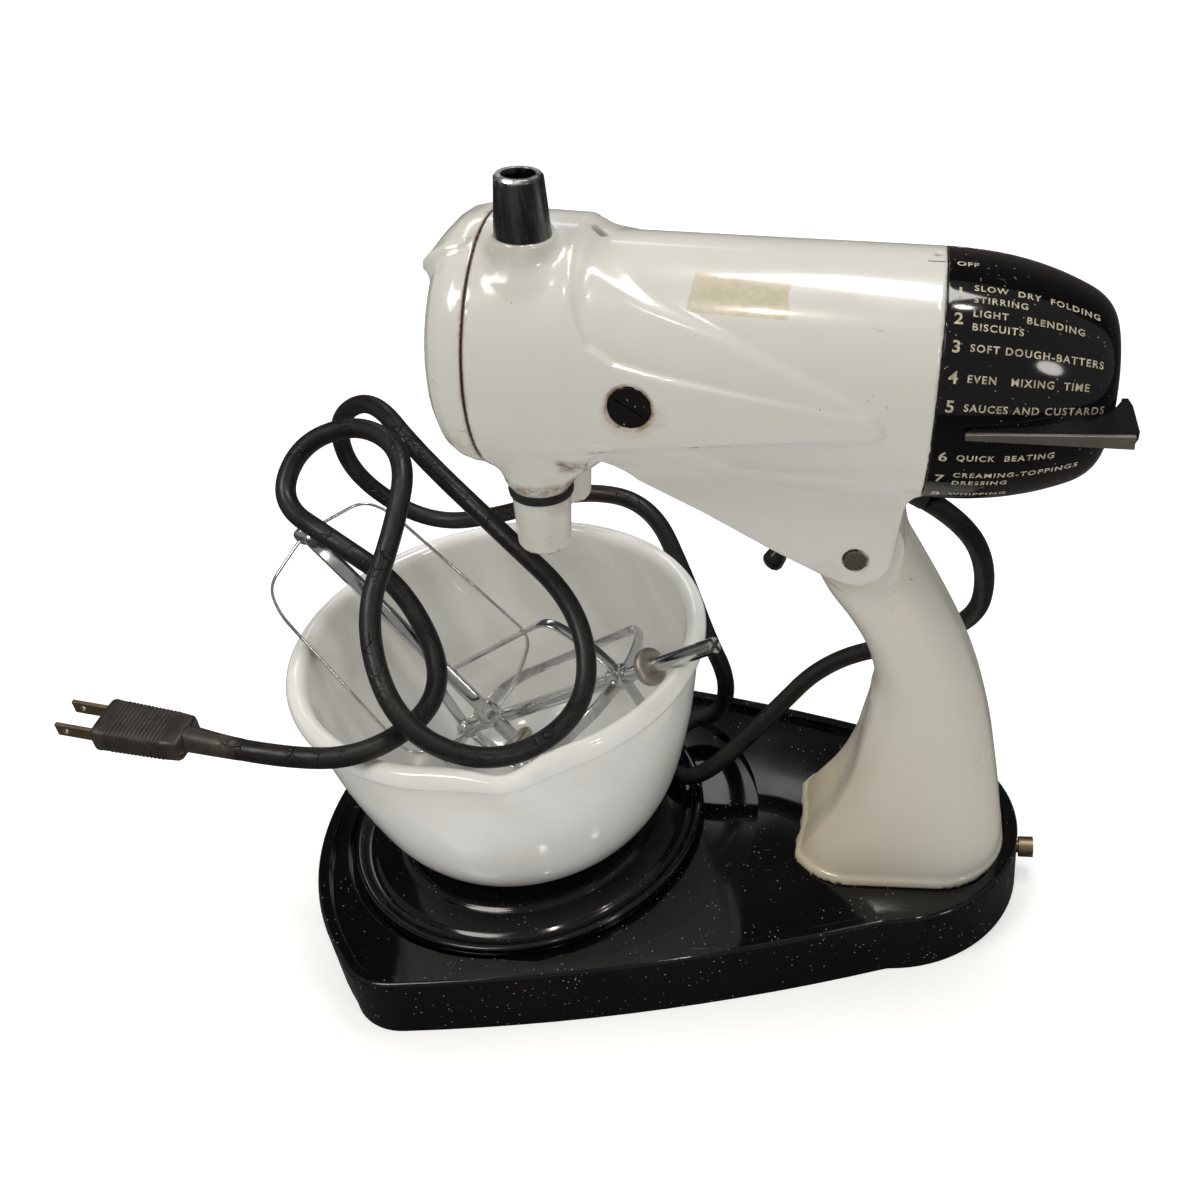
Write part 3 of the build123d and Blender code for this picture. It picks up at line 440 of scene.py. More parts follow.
# -------------------- mesh helpers
def mesh_object(name, vertices, faces, material):
    mesh = bpy.data.meshes.new(name)
    mesh.from_pydata([tuple(v) for v in vertices], [], [tuple(f) for f in faces])
    mesh.update()
    mesh.shade_smooth()
    mesh.materials.append(material)
    return add_object(name, mesh)


def curve_mesh(curve):
    """Mesh of a curve, made through an object that is then removed."""
    source = add_object(curve.name, curve)
    bpy.context.view_layer.update()
    mesh = bpy.data.meshes.new_from_object(source.evaluated_get(bpy.context.evaluated_depsgraph_get()))
    bpy.data.objects.remove(source)
    return mesh


def head_frame(points):
    """Turns level head points in mm to the resting head in metres."""
    p = np.array(points, float).reshape(-1, 3)
    x, z = p[:, 0] - HINGE[0], p[:, 2] - HINGE[1]
    c, s = math.cos(INCLINE), math.sin(INCLINE)
    return np.stack([HINGE[0] + x * c + z * s, p[:, 1], HINGE[1] - x * s + z * c], 1) * MM


def poly_distance(polygon, u, v):
    """Signed distance to a closed polygon, negative inside."""
    points = np.array(polygon, np.float32)
    best = np.full(u.shape, 1e9, np.float32)
    inside = np.zeros(u.shape, bool)
    for a, b in zip(points, np.roll(points, -1, axis=0)):
        du, dv = b - a
        t = np.clip(((u - a[0]) * du + (v - a[1]) * dv) / (du * du + dv * dv + 1e-12), 0, 1)
        best = np.minimum(best, (u - a[0] - t * du) ** 2 + (v - a[1] - t * dv) ** 2)
        if dv != 0:
            inside ^= ((a[1] <= v) != (b[1] <= v)) & (u < a[0] + (v - a[1]) * du / dv)
    return np.where(inside, -1, 1) * np.sqrt(best)


def smooth_min(a, b, k):
    h = np.clip(0.5 + 0.5 * (b - a) / k, 0, 1)
    return b + (a - b) * h - k * h * (1 - h)


def smooth_max(a, b, k):
    return -smooth_min(-a, -b, k)


def skin(field, low, high, cell):
    """Smooth closed mesh of a field's zero surface, in the field's units."""
    axes = [np.arange(a, b + cell, cell, dtype=np.float32) for a, b in zip(low, high)]
    d = field(*np.meshgrid(*axes, indexing="ij", sparse=False)).astype(np.float32)
    n = np.array(d.shape) - 1
    total = np.zeros((*n, 3), np.float32)
    count = np.zeros(n, np.float32)
    crossings = []
    for axis in range(3):
        a = np.moveaxis(d, axis, 0)[:-1]
        b = np.moveaxis(d, axis, 0)[1:]
        cross = (a < 0) != (b < 0)
        t = np.where(cross, a / np.where(cross, a - b, 1), 0)
        cross, t, sign = (np.moveaxis(q, 0, axis) for q in (cross, t, a < 0))
        crossings.append((cross, sign))
        others = [k for k in range(3) if k != axis]
        for corner in ((0, 0), (0, 1), (1, 0), (1, 1)):
            window = [slice(None)] * 3
            for k, step in zip(others, corner):
                window[k] = slice(step, step + n[k])
            c = cross[tuple(window)]
            total[..., axis] += t[tuple(window)]
            for k, step in zip(others, corner):
                total[..., k] += c * step
            count += c
    used = count > 0
    index = np.full(n, -1, np.int64)
    index[used] = np.arange(used.sum())
    cells = np.argwhere(used)
    v = (cells + total[used] / count[used][:, None]) * cell + np.array([a[0] for a in axes])
    faces = []
    for axis, (cross, sign) in enumerate(crossings):
        p, q = [(1, 2), (2, 0), (0, 1)][axis]
        at = np.argwhere(cross)
        keep = (at[:, p] > 0) & (at[:, q] > 0) & (at[:, p] < n[p]) & (at[:, q] < n[q])
        at = at[keep]
        flip = sign[tuple(at.T)]
        corners = []
        for dp, dq in ((1, 1), (0, 1), (0, 0), (1, 0)):
            c = at.copy()
            c[:, p] -= dp
            c[:, q] -= dq
            corners.append(index[tuple(c.T)])
        quad = np.stack(corners, 1)
        quad[~flip] = quad[~flip][:, ::-1]
        faces.append(quad)
    faces = np.concatenate(faces)
    for _ in range(3):
        value, gradient = slope(field, v)
        v = v - (value / np.maximum((gradient ** 2).sum(1), 0.05))[:, None] * gradient
    return v, faces


def slope(field, v, step=0.15):
    value = field(*v.T)
    gradient = np.stack([
        (field(*(v + step * e).T) - field(*(v - step * e).T)) / (2 * step) for e in np.eye(3)], 1)
    return value, gradient


def skin_object(name, field, low, high, cell, material, place):
    v, faces = skin(field, low, high, cell)
    return mesh_object(name, place(v), faces.tolist(), material)


def lathe(name, profile, material, place, segments):
    """Turned mesh from (radius, z) points about the local Z axis; place maps the points to metres."""
    vertices, faces = [], []
    count = len(profile)
    for k in range(segments):
        a = 2 * math.pi * k / segments
        vertices += [(r * math.cos(a), r * math.sin(a), z) for r, z in profile]
    for k in range(segments):
        n = (k + 1) % segments
        for i in range(count - 1):
            faces.append((k * count + i, n * count + i, n * count + i + 1, k * count + i + 1))
    obj = mesh_object(name, place(np.array(vertices)), faces, material)
    merge = obj.modifiers.new("merge", "WELD")
    merge.merge_threshold = 1e-6
    return obj


def rounded(points, cuts=4):
    """Smooth curve through the points."""
    p = np.array(points, float)
    p = np.vstack([2 * p[0] - p[1], p, 2 * p[-1] - p[-2]])
    out = []
    for i in range(1, len(p) - 2):
        for s in range(cuts):
            t = s / cuts
            out.append(0.5 * ((2 * p[i]) + (p[i + 1] - p[i - 1]) * t
                              + (2 * p[i - 1] - 5 * p[i] + 4 * p[i + 1] - p[i + 2]) * t ** 2
                              + (3 * p[i] - p[i - 1] - 3 * p[i + 1] + p[i + 2]) * t ** 3))
    out.append(p[-2])
    return out


def along_x(points):
    """Maps local (x, y, z) with z along the motor axis to the resting head."""
    p = np.array(points, float)
    return head_frame(np.stack([p[:, 2], p[:, 0], p[:, 1] + AXIS_Z], 1))


def ring_faces(rings, sides):
    """Side and end faces of a tube whose vertices run ring by ring."""
    faces = []
    for i in range(rings - 1):
        for k in range(sides):
            n = (k + 1) % sides
            faces.append((i * sides + k, i * sides + n, (i + 1) * sides + n, (i + 1) * sides + k))
    faces.append(tuple(reversed(range(sides))))
    faces.append(tuple(range((rings - 1) * sides, rings * sides)))
    return faces


def tube(name, points, radii, material, sides=28):
    """Mesh tube through points in metres with a radius at each."""
    p = np.array(points, float)
    radii = np.broadcast_to(np.array(radii, float), (len(p),))
    tangent = np.gradient(p, axis=0)
    tangent /= np.linalg.norm(tangent, axis=1)[:, None]
    side = np.cross(tangent[0], (0.3, 0.5, 0.81))
    side /= np.linalg.norm(side)
    vertices = []
    for i in range(len(p)):
        side = side - tangent[i] * side.dot(tangent[i])
        side /= np.linalg.norm(side)
        other = np.cross(tangent[i], side)
        for k in range(sides):
            a = 2 * math.pi * k / sides
            vertices.append(p[i] + radii[i] * (side * math.cos(a) + other * math.sin(a)))
    return mesh_object(name, vertices, ring_faces(len(p), sides), material)


make_camera()

# -------------------- head shell
SPINDLE_X, SPINDLE_Y, SPINDLE_BORE, SPINDLE_BORE_TOP = 43.0, 19.3, 9.0, 240
BOSS_BORE, BOSS_BORE_FLOOR = 8.0, 305
BRUSH_X, BRUSH_BORE, BRUSH_SEAT_Y = 85.8, 8.15, 43.9
TOP_HOLES, TOP_HOLE_FLOOR = ((66.5, 2.9), (191.0, 1.4)), 315
SHELL_FRONT_X, WEB_HALF_WIDTH, SLOT_HALF_WIDTH = 25.3, 26.0, 20.0
CASE = [(25.2, 0), (25.2, 49.2), (60.5, 49.4), (64.5, 48.0), (67.5, 45.6), (71, 44.6), (120, 45.6),
        (194.4, 47.3), (194.4, 0)]
HOOD = [(20, 336), (60, 336), (61, 322), (64, 309), (70, 299.5), (80, 294), (95, 291), (120, 287.6),
        (150, 284), (172, 281.2), (177, 277.5), (172, 273.2), (120, 265.5), (80, 259.0), (71, 254),
        (65.5, 246), (62, 236), (61, 222), (20, 222)]
SWELL = [(58, 330), (66, 322), (90, 312.5), (118, 305), (150, 293), (174, 283), (172, 279), (75, 290),
         (58, 300)]
WEB = [(70, 262), (72, 246), (84, 234.0), (109, 222.2), (137.8, 206.9), (161, 195.8), (168, 193.4),
       (175, 193.2), (181.5, 196.8), (185.4, 202), (186.6, 208), (189.4, 237), (190, 252)]
SLOT = [(104, 231), (147, 208.5), (147, 180), (200, 180), (200, 231)]
SOCKET = [(0, 196.6), (9.6, 196.6), (10.9, 198.4), (12.0, 222), (12.2, 226), (14.2, 229), (17, 241),
          (18, 256), (0, 256)]
BOSS = [(0, 300), (18, 300), (15.6, 316), (12.4, 322), (10.9, 329.2), (0, 329.2)]


def housing_field(x, y, z):
    radius = np.hypot(y, z - AXIS_Z)
    body = poly_distance(CASE, x, radius)
    hood = smooth_max(poly_distance(HOOD, x, z), radius - np.interp(x, [60, 176], [49.3, 48.1]), 0.9)
    swell = smooth_max(poly_distance(SWELL, x, z), radius - np.interp(x, [60, 172], [46.4, 47.4]), 3.0)
    body = smooth_min(smooth_min(body, swell, 2.2), hood, 1.9)
    web = smooth_max(poly_distance(WEB, x, z), np.abs(y) - WEB_HALF_WIDTH, 2.5)
    slot = np.maximum(poly_distance(SLOT, x, z), np.abs(y) - SLOT_HALF_WIDTH)
    for side in (-1, 1):
        around = np.hypot(x - SPINDLE_X, y - side * SPINDLE_Y)
        body = smooth_min(body, poly_distance(SOCKET, around, z), 5.0)
    body = smooth_min(body, web, 7.0)
    around = np.hypot(x - SPINDLE_X, y + SPINDLE_Y)
    body = smooth_min(body, poly_distance(BOSS, around, z), 4.0)
    body = np.maximum(body, -slot)
    body = np.maximum(body, SHELL_FRONT_X - x)
    for side in (-1, 1):
        bore = np.hypot(x - SPINDLE_X, y - side * SPINDLE_Y) - SPINDLE_BORE
        body = np.maximum(body, -np.maximum(bore, z - SPINDLE_BORE_TOP))
        bore = np.hypot(x - BRUSH_X, z - AXIS_Z) - BRUSH_BORE
        body = np.maximum(body, -np.maximum(bore, BRUSH_SEAT_Y - side * y))
    body = np.maximum(body, -np.maximum(around - BOSS_BORE, BOSS_BORE_FLOOR - z))
    for at, radius_here in TOP_HOLES:
        body = np.maximum(body, -np.maximum(np.hypot(x - at, y) - radius_here, TOP_HOLE_FLOOR - z))
    return body


CAP = [(25.1, 0), (25.1, 49), (20, 48.7), (15.5, 47.4), (11.5, 44.6), (8.4, 39.6), (6.6, 31), (5.6, 16),
       (5.4, 0)]
BROW = [(4.6, 313.2), (9.5, 309.6), (20, 312), (22, 326), (14, 323.6), (8, 319.6), (4.8, 316.0)]


def cap_field(x, y, z):
    body = poly_distance(CAP, x, np.hypot(y, z - AXIS_Z))
    brow = smooth_max(poly_distance(BROW, x, z), np.abs(y) - 22.0 + 0.012 * (x - 12) ** 2, 3.0)
    return smooth_min(body, brow, 3.0)


# Height, front x, rear x and half width of the column.
COLUMN = [
    (29.5, 134, 237, 40), (42, 142.5, 237.2, 36), (58, 154, 235.6, 32.3), (76, 163, 233.4, 29.6),
    (97, 169.5, 230.6, 27.3), (116, 175.2, 227, 25.2), (132, 178, 223, 23.5), (150, 174.5, 217.2, 22.2),
    (166, 167, 210.8, 21.1), (181, 158, 204, 20.3), (194, 153.3, 197.8, 19.6), (206.6, 152.5, 191.5, 19.3),
]
COLUMN_FINE = np.array(rounded(COLUMN, 6))
BARREL_RADIUS, BARREL_HALF_WIDTH = 19.5, 19.3
COLUMN_FOOT_Z, SKIRT_TOP_Z, SKIRT_OUT = 29.6, 33.2, 1.2


def column_field(x, y, z):
    front, rear, half = (np.interp(z, COLUMN_FINE[:, 0], COLUMN_FINE[:, k]) for k in (1, 2, 3))
    middle, reach = (front + rear) / 2, (rear - front) / 2
    low = np.clip((118 - z) / 75, 0, 1)
    scoop = 7.0 * low ** 0.8 * np.clip(1 - (y / (0.62 * half)) ** 2, 0, 1)
    u = x - middle - scoop * np.clip((middle - x) / reach, 0, 1.2)
    corner = 0.80 * np.minimum(reach, half)
    qx, qy = np.abs(u) - reach + corner, np.abs(y) - half + corner
    plan = np.hypot(np.maximum(qx, 0), np.maximum(qy, 0)) + np.minimum(np.maximum(qx, qy), 0) - corner
    shaft = np.maximum(plan, z - HINGE[1])
    around = np.hypot(x - HINGE[0], z - HINGE[1])
    barrel = smooth_max(around - BARREL_RADIUS, np.abs(y) - BARREL_HALF_WIDTH, 1.2)
    body = smooth_min(shaft, barrel, 3.0)
    body = smooth_min(body, np.maximum(plan - SKIRT_OUT, z - SKIRT_TOP_Z), 1.5)
    return np.maximum(body, COLUMN_FOOT_Z - z)


white = enamel("enamel_housing", seam_x=CAP_SEAM_X)
white_cap = enamel("enamel_cap", seam_x=CAP_SEAM_X)
white_column = enamel("enamel_column", base=(0.655, 0.635, 0.57))
black_stand = glossy_black("stand_black_gloss")
black_table = glossy_black("turntable_black_gloss", rough=0.07, dust=0.8)
black_dial = glossy_black("dial_black_gloss", rough=0.06, dust=0.6)
black_cap = glossy_black("plug_cap_black", base=(0.006, 0.0055, 0.005), rough=0.18, dust=0.8)
chrome = metal("beater_chrome_worn", base=(0.66, 0.66, 0.67), rough=0.07, tarnish=(0.16, 0.10, 0.06),
               amount=0.45)
nickel = metal("nickel_worn_metal", base=(0.50, 0.475, 0.42), rough=0.34, tarnish=(0.22, 0.15, 0.09),
               amount=0.5, brushed=0.5)
pin_metal = metal("pin_dull_metal", base=(0.42, 0.39, 0.34), rough=0.40, tarnish=(0.10, 0.06, 0.035),
                  amount=0.8, brushed=0.6)
steel = metal("steel_plain_metal", base=(0.45, 0.45, 0.46), rough=0.28, amount=0.3)
brass = metal("brass_tarnished", base=(0.34, 0.27, 0.17), rough=0.34, tarnish=(0.09, 0.06, 0.035),
              amount=0.9, brushed=0.8)
cone = cone_metal("cone_chrome_worn")
cord_rubber = rubber("cord_rubber_old", brown=0.16, base=(0.0048, 0.0045, 0.0043))
plug_rubber = rubber("plug_rubber_dusty", brown=0.75, base=(0.022, 0.018, 0.015), crack=0.7)
foot_rubber = rubber("foot_rubber", brown=0.2)
glass = milk_glass("milk_glass_bowl")
tab_top = pebbled("tab_pebbled_black")
print_cream = printed("print_cream")


def to_metres(points):
    return np.array(points, float).reshape(-1, 3) * MM


housing = skin_object("housing_skin", housing_field, (22, -53, 193), (198, 53, 332), 1.25, white, head_frame)
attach(housing, "head")
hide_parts("head_housing")
cap = skin_object("nose_cap_skin", cap_field, (-7, -52, 227), (28, 52, 331), 1.25, white_cap, head_frame)
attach(cap, "head")
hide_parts("nose_cap")
column = skin_object("column_skin", column_field, (130, -43, 27), (241, 43, 228), 1.3, white_column,
                     to_metres)
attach(column, "stand")
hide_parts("column")

# -------------------- bowl and turntable
BOWL_X, BOWL_Y, SPOUT = 2.5, 4.5, math.radians(-73)
bowl_profile = rounded([
    (0, 29.6), (30, 29.5), (45, 29.5), (50, 31), (56, 34.2), (63, 39.8), (69.5, 47.5), (76, 60), (82.5, 80),
    (87.6, 100), (91.3, 120), (93.2, 131), (94.6, 133.4), (96.4, 135.2), (97.2, 138), (97.0, 141),
    (95.4, 143.1), (92.6, 143.5), (89.9, 142.4), (88.3, 139.6), (87.4, 135), (86.4, 129), (85.2, 120),
    (81.8, 100), (77, 80), (69, 61), (61, 50), (48, 40), (34, 36), (0, 35.6),
], 5)


def bowl_place(points):
    p = np.array(points, float)
    radius, angle = np.hypot(p[:, 0], p[:, 1]), np.arctan2(p[:, 1], p[:, 0])
    off = np.abs((angle - SPOUT + math.pi) % (2 * math.pi) - math.pi)
    lift = np.clip((p[:, 2] - 98) / 45, 0, 1) ** 1.6
    push = 5.2 * lift * np.exp(-(off / 0.13) ** 2) - 0.9 * lift * np.exp(-((off - 0.30) / 0.10) ** 2)
    grown = radius + np.where(radius > 40, push, 0)
    sag = 1.6 * np.exp(-(off / 0.12) ** 2) * np.clip((p[:, 2] - 132) / 10, 0, 1)
    return np.stack([grown * np.cos(angle) + BOWL_X, grown * np.sin(angle) + BOWL_Y, p[:, 2] - sag], 1) * MM


bowl = lathe("bowl_glass", bowl_profile, glass, bowl_place, 240)
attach(bowl, "bowl")
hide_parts("bowl")
table_profile = [
    (0, 29.2), (59.4, 29.2), (60.2, 29.6), (61.2, 31.5), (62.0, 32.1), (64.2, 32.2), (65.4, 31.6),
    (66.8, 30.4), (68, 30.2), (77.4, 29.6), (78.6, 29.3), (79.6, 28.4), (80.6, 28.2), (82.8, 28.2),
    (83.6, 28.7), (85.0, 30.5), (86, 31.2), (87.4, 31.5), (88.4, 31.1), (89, 30.1), (89, 27.2),
    (88.4, 26.7), (87, 26.6), (86, 27.4), (66, 27.4), (11, 27.4), (0, 27.3),
]
turntable = lathe("turntable_rings", table_profile, black_table, to_metres, 200)
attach(turntable, "table")
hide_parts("turntable")

# -------------------- speed dial
DIAL = [(195, 47), (195.3, 47.3), (204, 47.1), (213, 46.5), (224, 44.9), (235, 42.2), (244, 39.1),
        (251, 36), (255.6, 32.6), (258.6, 28.4), (260, 23.4), (260.5, 19), (260.6, 17.2)]
dial_line = rounded(DIAL, 5)
dial_shell = [(r, x) for x, r in dial_line] + [(16.8, 260.2), (0.0, 260.2)]
dial_back = [(11, 258), (20, 256), (34, 245), (41, 226), (44.3, 204.0), (44.3, 195.0)]
dial = lathe("dial_shell", dial_back + dial_shell, black_dial, along_x, 160)
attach(dial, "dial")
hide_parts("speed_dial")

medallion_profile = rounded([
    (16.6, 260.2), (16.5, 260.9), (15.6, 261.3), (14.8, 261.0), (13.5, 260.9), (8, 261.2), (0, 261.4),
], 4)
medallion = lathe("dial_medallion_disc", medallion_profile, nickel, along_x, 96)
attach(medallion, "dial")
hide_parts("dial_medallion")


PRINT_LIFT = 0.16


def dial_radius(x):
    line = np.array(dial_line)
    return np.interp(x, line[:, 0], line[:, 1])


def dial_text(label, body, size, start_x, angle, space, wide):
    """Lettering wrapped on the dial, its middle line at angle degrees from the top."""
    curve = bpy.data.curves.new("text_" + label, "FONT")
    curve.body = body
    curve.size = size
    curve.align_x = "LEFT"
    curve.align_y = "CENTER"
    curve.space_character = space
    curve.resolution_u = 3
    curve.offset = 0.02 * size
    mesh = curve_mesh(curve)
    flat = np.array([v.co[:2] for v in mesh.vertices])
    x = start_x + flat[:, 0] * wide
    radius = dial_radius(x) + PRINT_LIFT
    turn = math.radians(angle) - flat[:, 1] / radius
    points = np.stack([x, -radius * np.sin(turn), AXIS_Z + radius * np.cos(turn)], 1)
    for vertex, place in zip(mesh.vertices, head_frame(points)):
        vertex.co = place
    mesh.materials.clear()
    mesh.materials.append(print_cream)
    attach(add_object("figure_" + label, mesh), "dial")


# Angle from the top in degrees, figure and words.
DIAL_MARKS = [
    (8.4, "OFF", ""), (27, "1", "SLOW  DRY  FOLDING|STIRRING"), (40, "2", "LIGHT    BLENDING|BISCUITS"),
    (52.3, "3", "SOFT DOUGH-BATTERS"), (65.2, "4", "EVEN   MIXING  TIME"), (77.5, "5", "SAUCES AND CUSTARDS"),
    (102, "6", "QUICK  BEATING"), (116.3, "7", "CREAMING-TOPPINGS|DRESSING"), (132.0, "8", "WHIPPING"),
    (-14, "9", "ICING"), (-28, "10", "JUICE"),
]
FIGURE_X, WORDS_X, LINE_PITCH = 197.4, 203.8, 6.2
for angle, figure, words in DIAL_MARKS:
    dial_text("f" + figure, figure, 6.0 if figure != "OFF" else 3.9, FIGURE_X, angle, 1.1, 1.1)
    lines = words.split("|") if words else []
    for row, line in enumerate(lines):
        tilt = (row - (len(lines) - 1) / 2) * LINE_PITCH
        dial_text("w" + figure + str(row), line, 3.7, WORDS_X, angle + tilt, 1.22, 1.03)


# -------------------- beaters
def beater_place(end, tip, roll):
    """Maps local points, with z from a beater's socket end to its tip, to metres."""
    end, tip = np.array(end), np.array(tip)
    axis = (tip - end) / np.linalg.norm(tip - end)
    level = np.cross(axis, (0, 0, 1))
    level /= np.linalg.norm(level)
    upright = np.cross(axis, level)
    a = math.radians(roll)
    side = level * math.cos(a) + upright * math.sin(a)
    other = np.cross(axis, side)

    def place(points):
        p = np.array(points, float).reshape(-1, 3)
        return (end + p[:, :1] * side + p[:, 1:2] * other + p[:, 2:] * axis) * MM
    return place


def bent_loop(points, radius, step=1.6):
    """Closed polyline with rounded corners, sampled evenly."""
    p = [np.array(q, float) for q in points]
    out = []
    for before, here, after in zip(p[-1:] + p[:-1], p, p[1:] + p[:1]):
        a, b = before - here, after - here
        la, lb = np.linalg.norm(a), np.linalg.norm(b)
        a, b = a / la, b / lb
        reach = min(radius, 0.48 * la, 0.48 * lb)
        for t in np.linspace(0, 1, 7):
            out.append((1 - t) ** 2 * (here + a * reach) + 2 * t * (1 - t) * here
                       + t ** 2 * (here + b * reach))
    out = np.array(out + [out[0]])
    along = np.r_[0, np.cumsum(np.linalg.norm(np.diff(out, axis=0), axis=1))]
    count = int(along[-1] / step)
    s = np.linspace(0, along[-1], count, endpoint=False)
    return np.stack([np.interp(s, along, out[:, k]) for k in range(3)], 1)


WIRE_SIDE = [(0, 61), (20, 64), (40.7, 75), (39.7, 92), (34.5, 166), (29, 178.5), (0, 185.5)]


def wire_loop(name, turn, place):
    """Closed strip loop, thin in its own plane and broad across it, and broader near the shaft."""
    line = WIRE_SIDE + [(-x, z) for x, z in reversed(WIRE_SIDE[1:-1])]
    path = bent_loop([(x, 0, z) for x, z in line], 8.0)
    count, sides = len(path), 14
    tangent = np.roll(path, -1, 0) - np.roll(path, 1, 0)
    tangent /= np.linalg.norm(tangent, axis=1)[:, None]
    vertices, faces = [], []
    for i in range(count):
        normal = np.array([tangent[i][2], 0, -tangent[i][0]])
        flat = np.clip((path[i][2] - 150) / 22, 0, 1) + np.clip((72 - path[i][2]) / 6, 0, 1)
        thin, broad = 0.75 - 0.1 * flat, 2.5 + 0.5 * flat
        for k in range(sides):
            a = 2 * math.pi * k / sides
            c, s = math.cos(a), math.sin(a)
            vertices.append(path[i] + normal * thin * math.copysign(abs(c) ** 0.45, c)
                            + np.array([0, 1, 0]) * broad * math.copysign(abs(s) ** 0.45, s))
    for i in range(count):
        j = (i + 1) % count
        for k in range(sides):
            n = (k + 1) % sides
            faces.append((i * sides + k, j * sides + k, j * sides + n, i * sides + n))
    v = np.array(vertices)
    c, s = math.cos(turn), math.sin(turn)
    v = np.stack([v[:, 0] * c - v[:, 1] * s, v[:, 0] * s + v[:, 1] * c, v[:, 2]], 1)
    return mesh_object(name, place(v), faces, chrome)


# Name, socket end, tip and roll in degrees.
BEATERS = (
    ("beater_a", (23.9, 1.3, 40.1), (-86.4, 19.2, 190.0), 48.5),
    ("beater_b", (110.5, -23.5, 160.0), (-36.8, 28.7, 60.0), -6.1),
)
HUB = [(3.55, 57.5), (5.2, 57.8), (6.0, 59.5), (6.2, 63), (5.8, 66.8), (4.4, 68.4), (3.55, 68.6)]
TAIL = [(3.55, 181), (4.4, 181.6), (5.2, 183.5), (5.4, 186), (4.2, 188.6), (0, 189.4)]
CUP = [(3.62, 39.6), (7.6, 39.7), (8.7, 40.6), (8.9, 42.0), (8.6, 43.4), (7.6, 43.6), (6.9, 42.6),
       (5.4, 42.4), (4.9, 44.4), (3.62, 44.8)]
for name, *ends in BEATERS:
    place = beater_place(*ends)
    first = wire_loop(name + "_wire_one", 0.0, place)
    second = wire_loop(name + "_wire_two", math.pi / 2, place)
    hub = lathe(name + "_hub", rounded(HUB), chrome, place, 40)
    tail = lathe(name + "_tail", rounded(TAIL), chrome, place, 40)
    for piece in (first, second, hub, tail):
        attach(piece, name)
    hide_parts(name + "_loops")
for name, *ends in BEATERS:
    cup = lathe(name + "_cup", rounded(CUP), nickel, beater_place(*ends), 56)
    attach(cup, name)
    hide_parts(name + "_collar")

THUMB_LINE = [(142.5, -2, 202), (142, -3, 198), (140.8, -4.2, 194.2), (139, -5.4, 191), (137.4, -6.4, 188.4),
              (136.4, -7, 187), (135.8, -7.4, 186.2)]
THUMB_RADII = [2.4, 2.6, 3.3, 4.4, 4.7, 3.9, 2.0]
knob = tube("latch_thumb", head_frame(THUMB_LINE), [v * MM for v in THUMB_RADII], black_cap)
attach(knob, "latch")
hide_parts("latch_knob")

# -------------------- cord and plug
# The free cord, from the gland at the head to the plug.
ROUTE = [
    (200.5, 0, 218.7), (217, 5, 204), (227, 15, 173), (224, 35, 131), (193, 50, 106), (150, 53, 90),
    (121, 44, 60), (85, 17, 36.6), (66, 29, 36.6), (61.5, 48, 36.6), (73, 65, 37), (92, 66, 42), (98, 61, 70),
    (89, 62, 98), (79, 75, 124), (61, 94, 159), (22, 98, 164), (-20, 105, 144), (-66, 107, 136),
    (-102, 107, 166), (-97.5, 96, 206.5), (-62.5, 73, 231.5), (-34, 45, 217), (10, 14, 194), (48, -4, 164),
    (56, -41, 137), (26, -78, 136), (-12, -82, 158), (-33, -48, 188), (-24, -16, 213), (-23.5, 14, 233.5),
    (-51.5, 34, 238.5), (-82.5, 32, 228.5), (-91, 14, 208), (-58, -6, 201), (-28, -10, 177), (-5, -42, 146),
    (-24, -88, 149), (-66, -92, 152), (-101.3, -86.3, 155.8),
]


def cord_line():
    """Points in metres of the smooth curve that the route's points pull."""
    curve = bpy.data.curves.new("cord_line", "CURVE")
    curve.dimensions = "3D"
    curve.resolution_u = 14
    spline = curve.splines.new("NURBS")
    spline.points.add(len(ROUTE) - 1)
    for point, place in zip(spline.points, ROUTE):
        point.co = (place[0] * MM, place[1] * MM, place[2] * MM, 1.0)
    spline.order_u = 3
    spline.use_endpoint_u = True
    mesh = curve_mesh(curve)
    points = np.array([v.co[:] for v in mesh.vertices])
    bpy.data.meshes.remove(mesh)
    return points


CORD_DIAMETER = 0.009
cord_points = cord_line()
cord = tube("cord_tube", cord_points, CORD_DIAMETER / 2, cord_rubber)
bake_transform(cord)
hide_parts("cord")

# The plug points along PLUG_AXIS, and BLADE is the direction from one blade to the other.
PLUG_AXIS = np.array([-0.988, 0.060, 0.133])
PLUG_AXIS /= np.linalg.norm(PLUG_AXIS)
BLADE = np.array([0.044, 0.992, 0.116])
BLADE = BLADE - PLUG_AXIS * BLADE.dot(PLUG_AXIS)
BLADE /= np.linalg.norm(BLADE)
PLUG_START = np.array(ROUTE[-1]) + PLUG_AXIS * 0.85


def plug_place(points):
    p = np.array(points, float).reshape(-1, 3)
    other = np.cross(PLUG_AXIS, BLADE)
    return (PLUG_START + p[:, :1] * BLADE + p[:, 1:2] * other + p[:, 2:] * PLUG_AXIS) * MM


GRIP_START, GRIP_LENGTH, GRIP_PITCH, GRIP_STEPS = 6.0, 28.0, 1.7, 140
PLUG_LENGTH, PLUG_SIDES = 37, 64
PLUG_SLIM_A, PLUG_SLIM_B = 0.84, 0.80


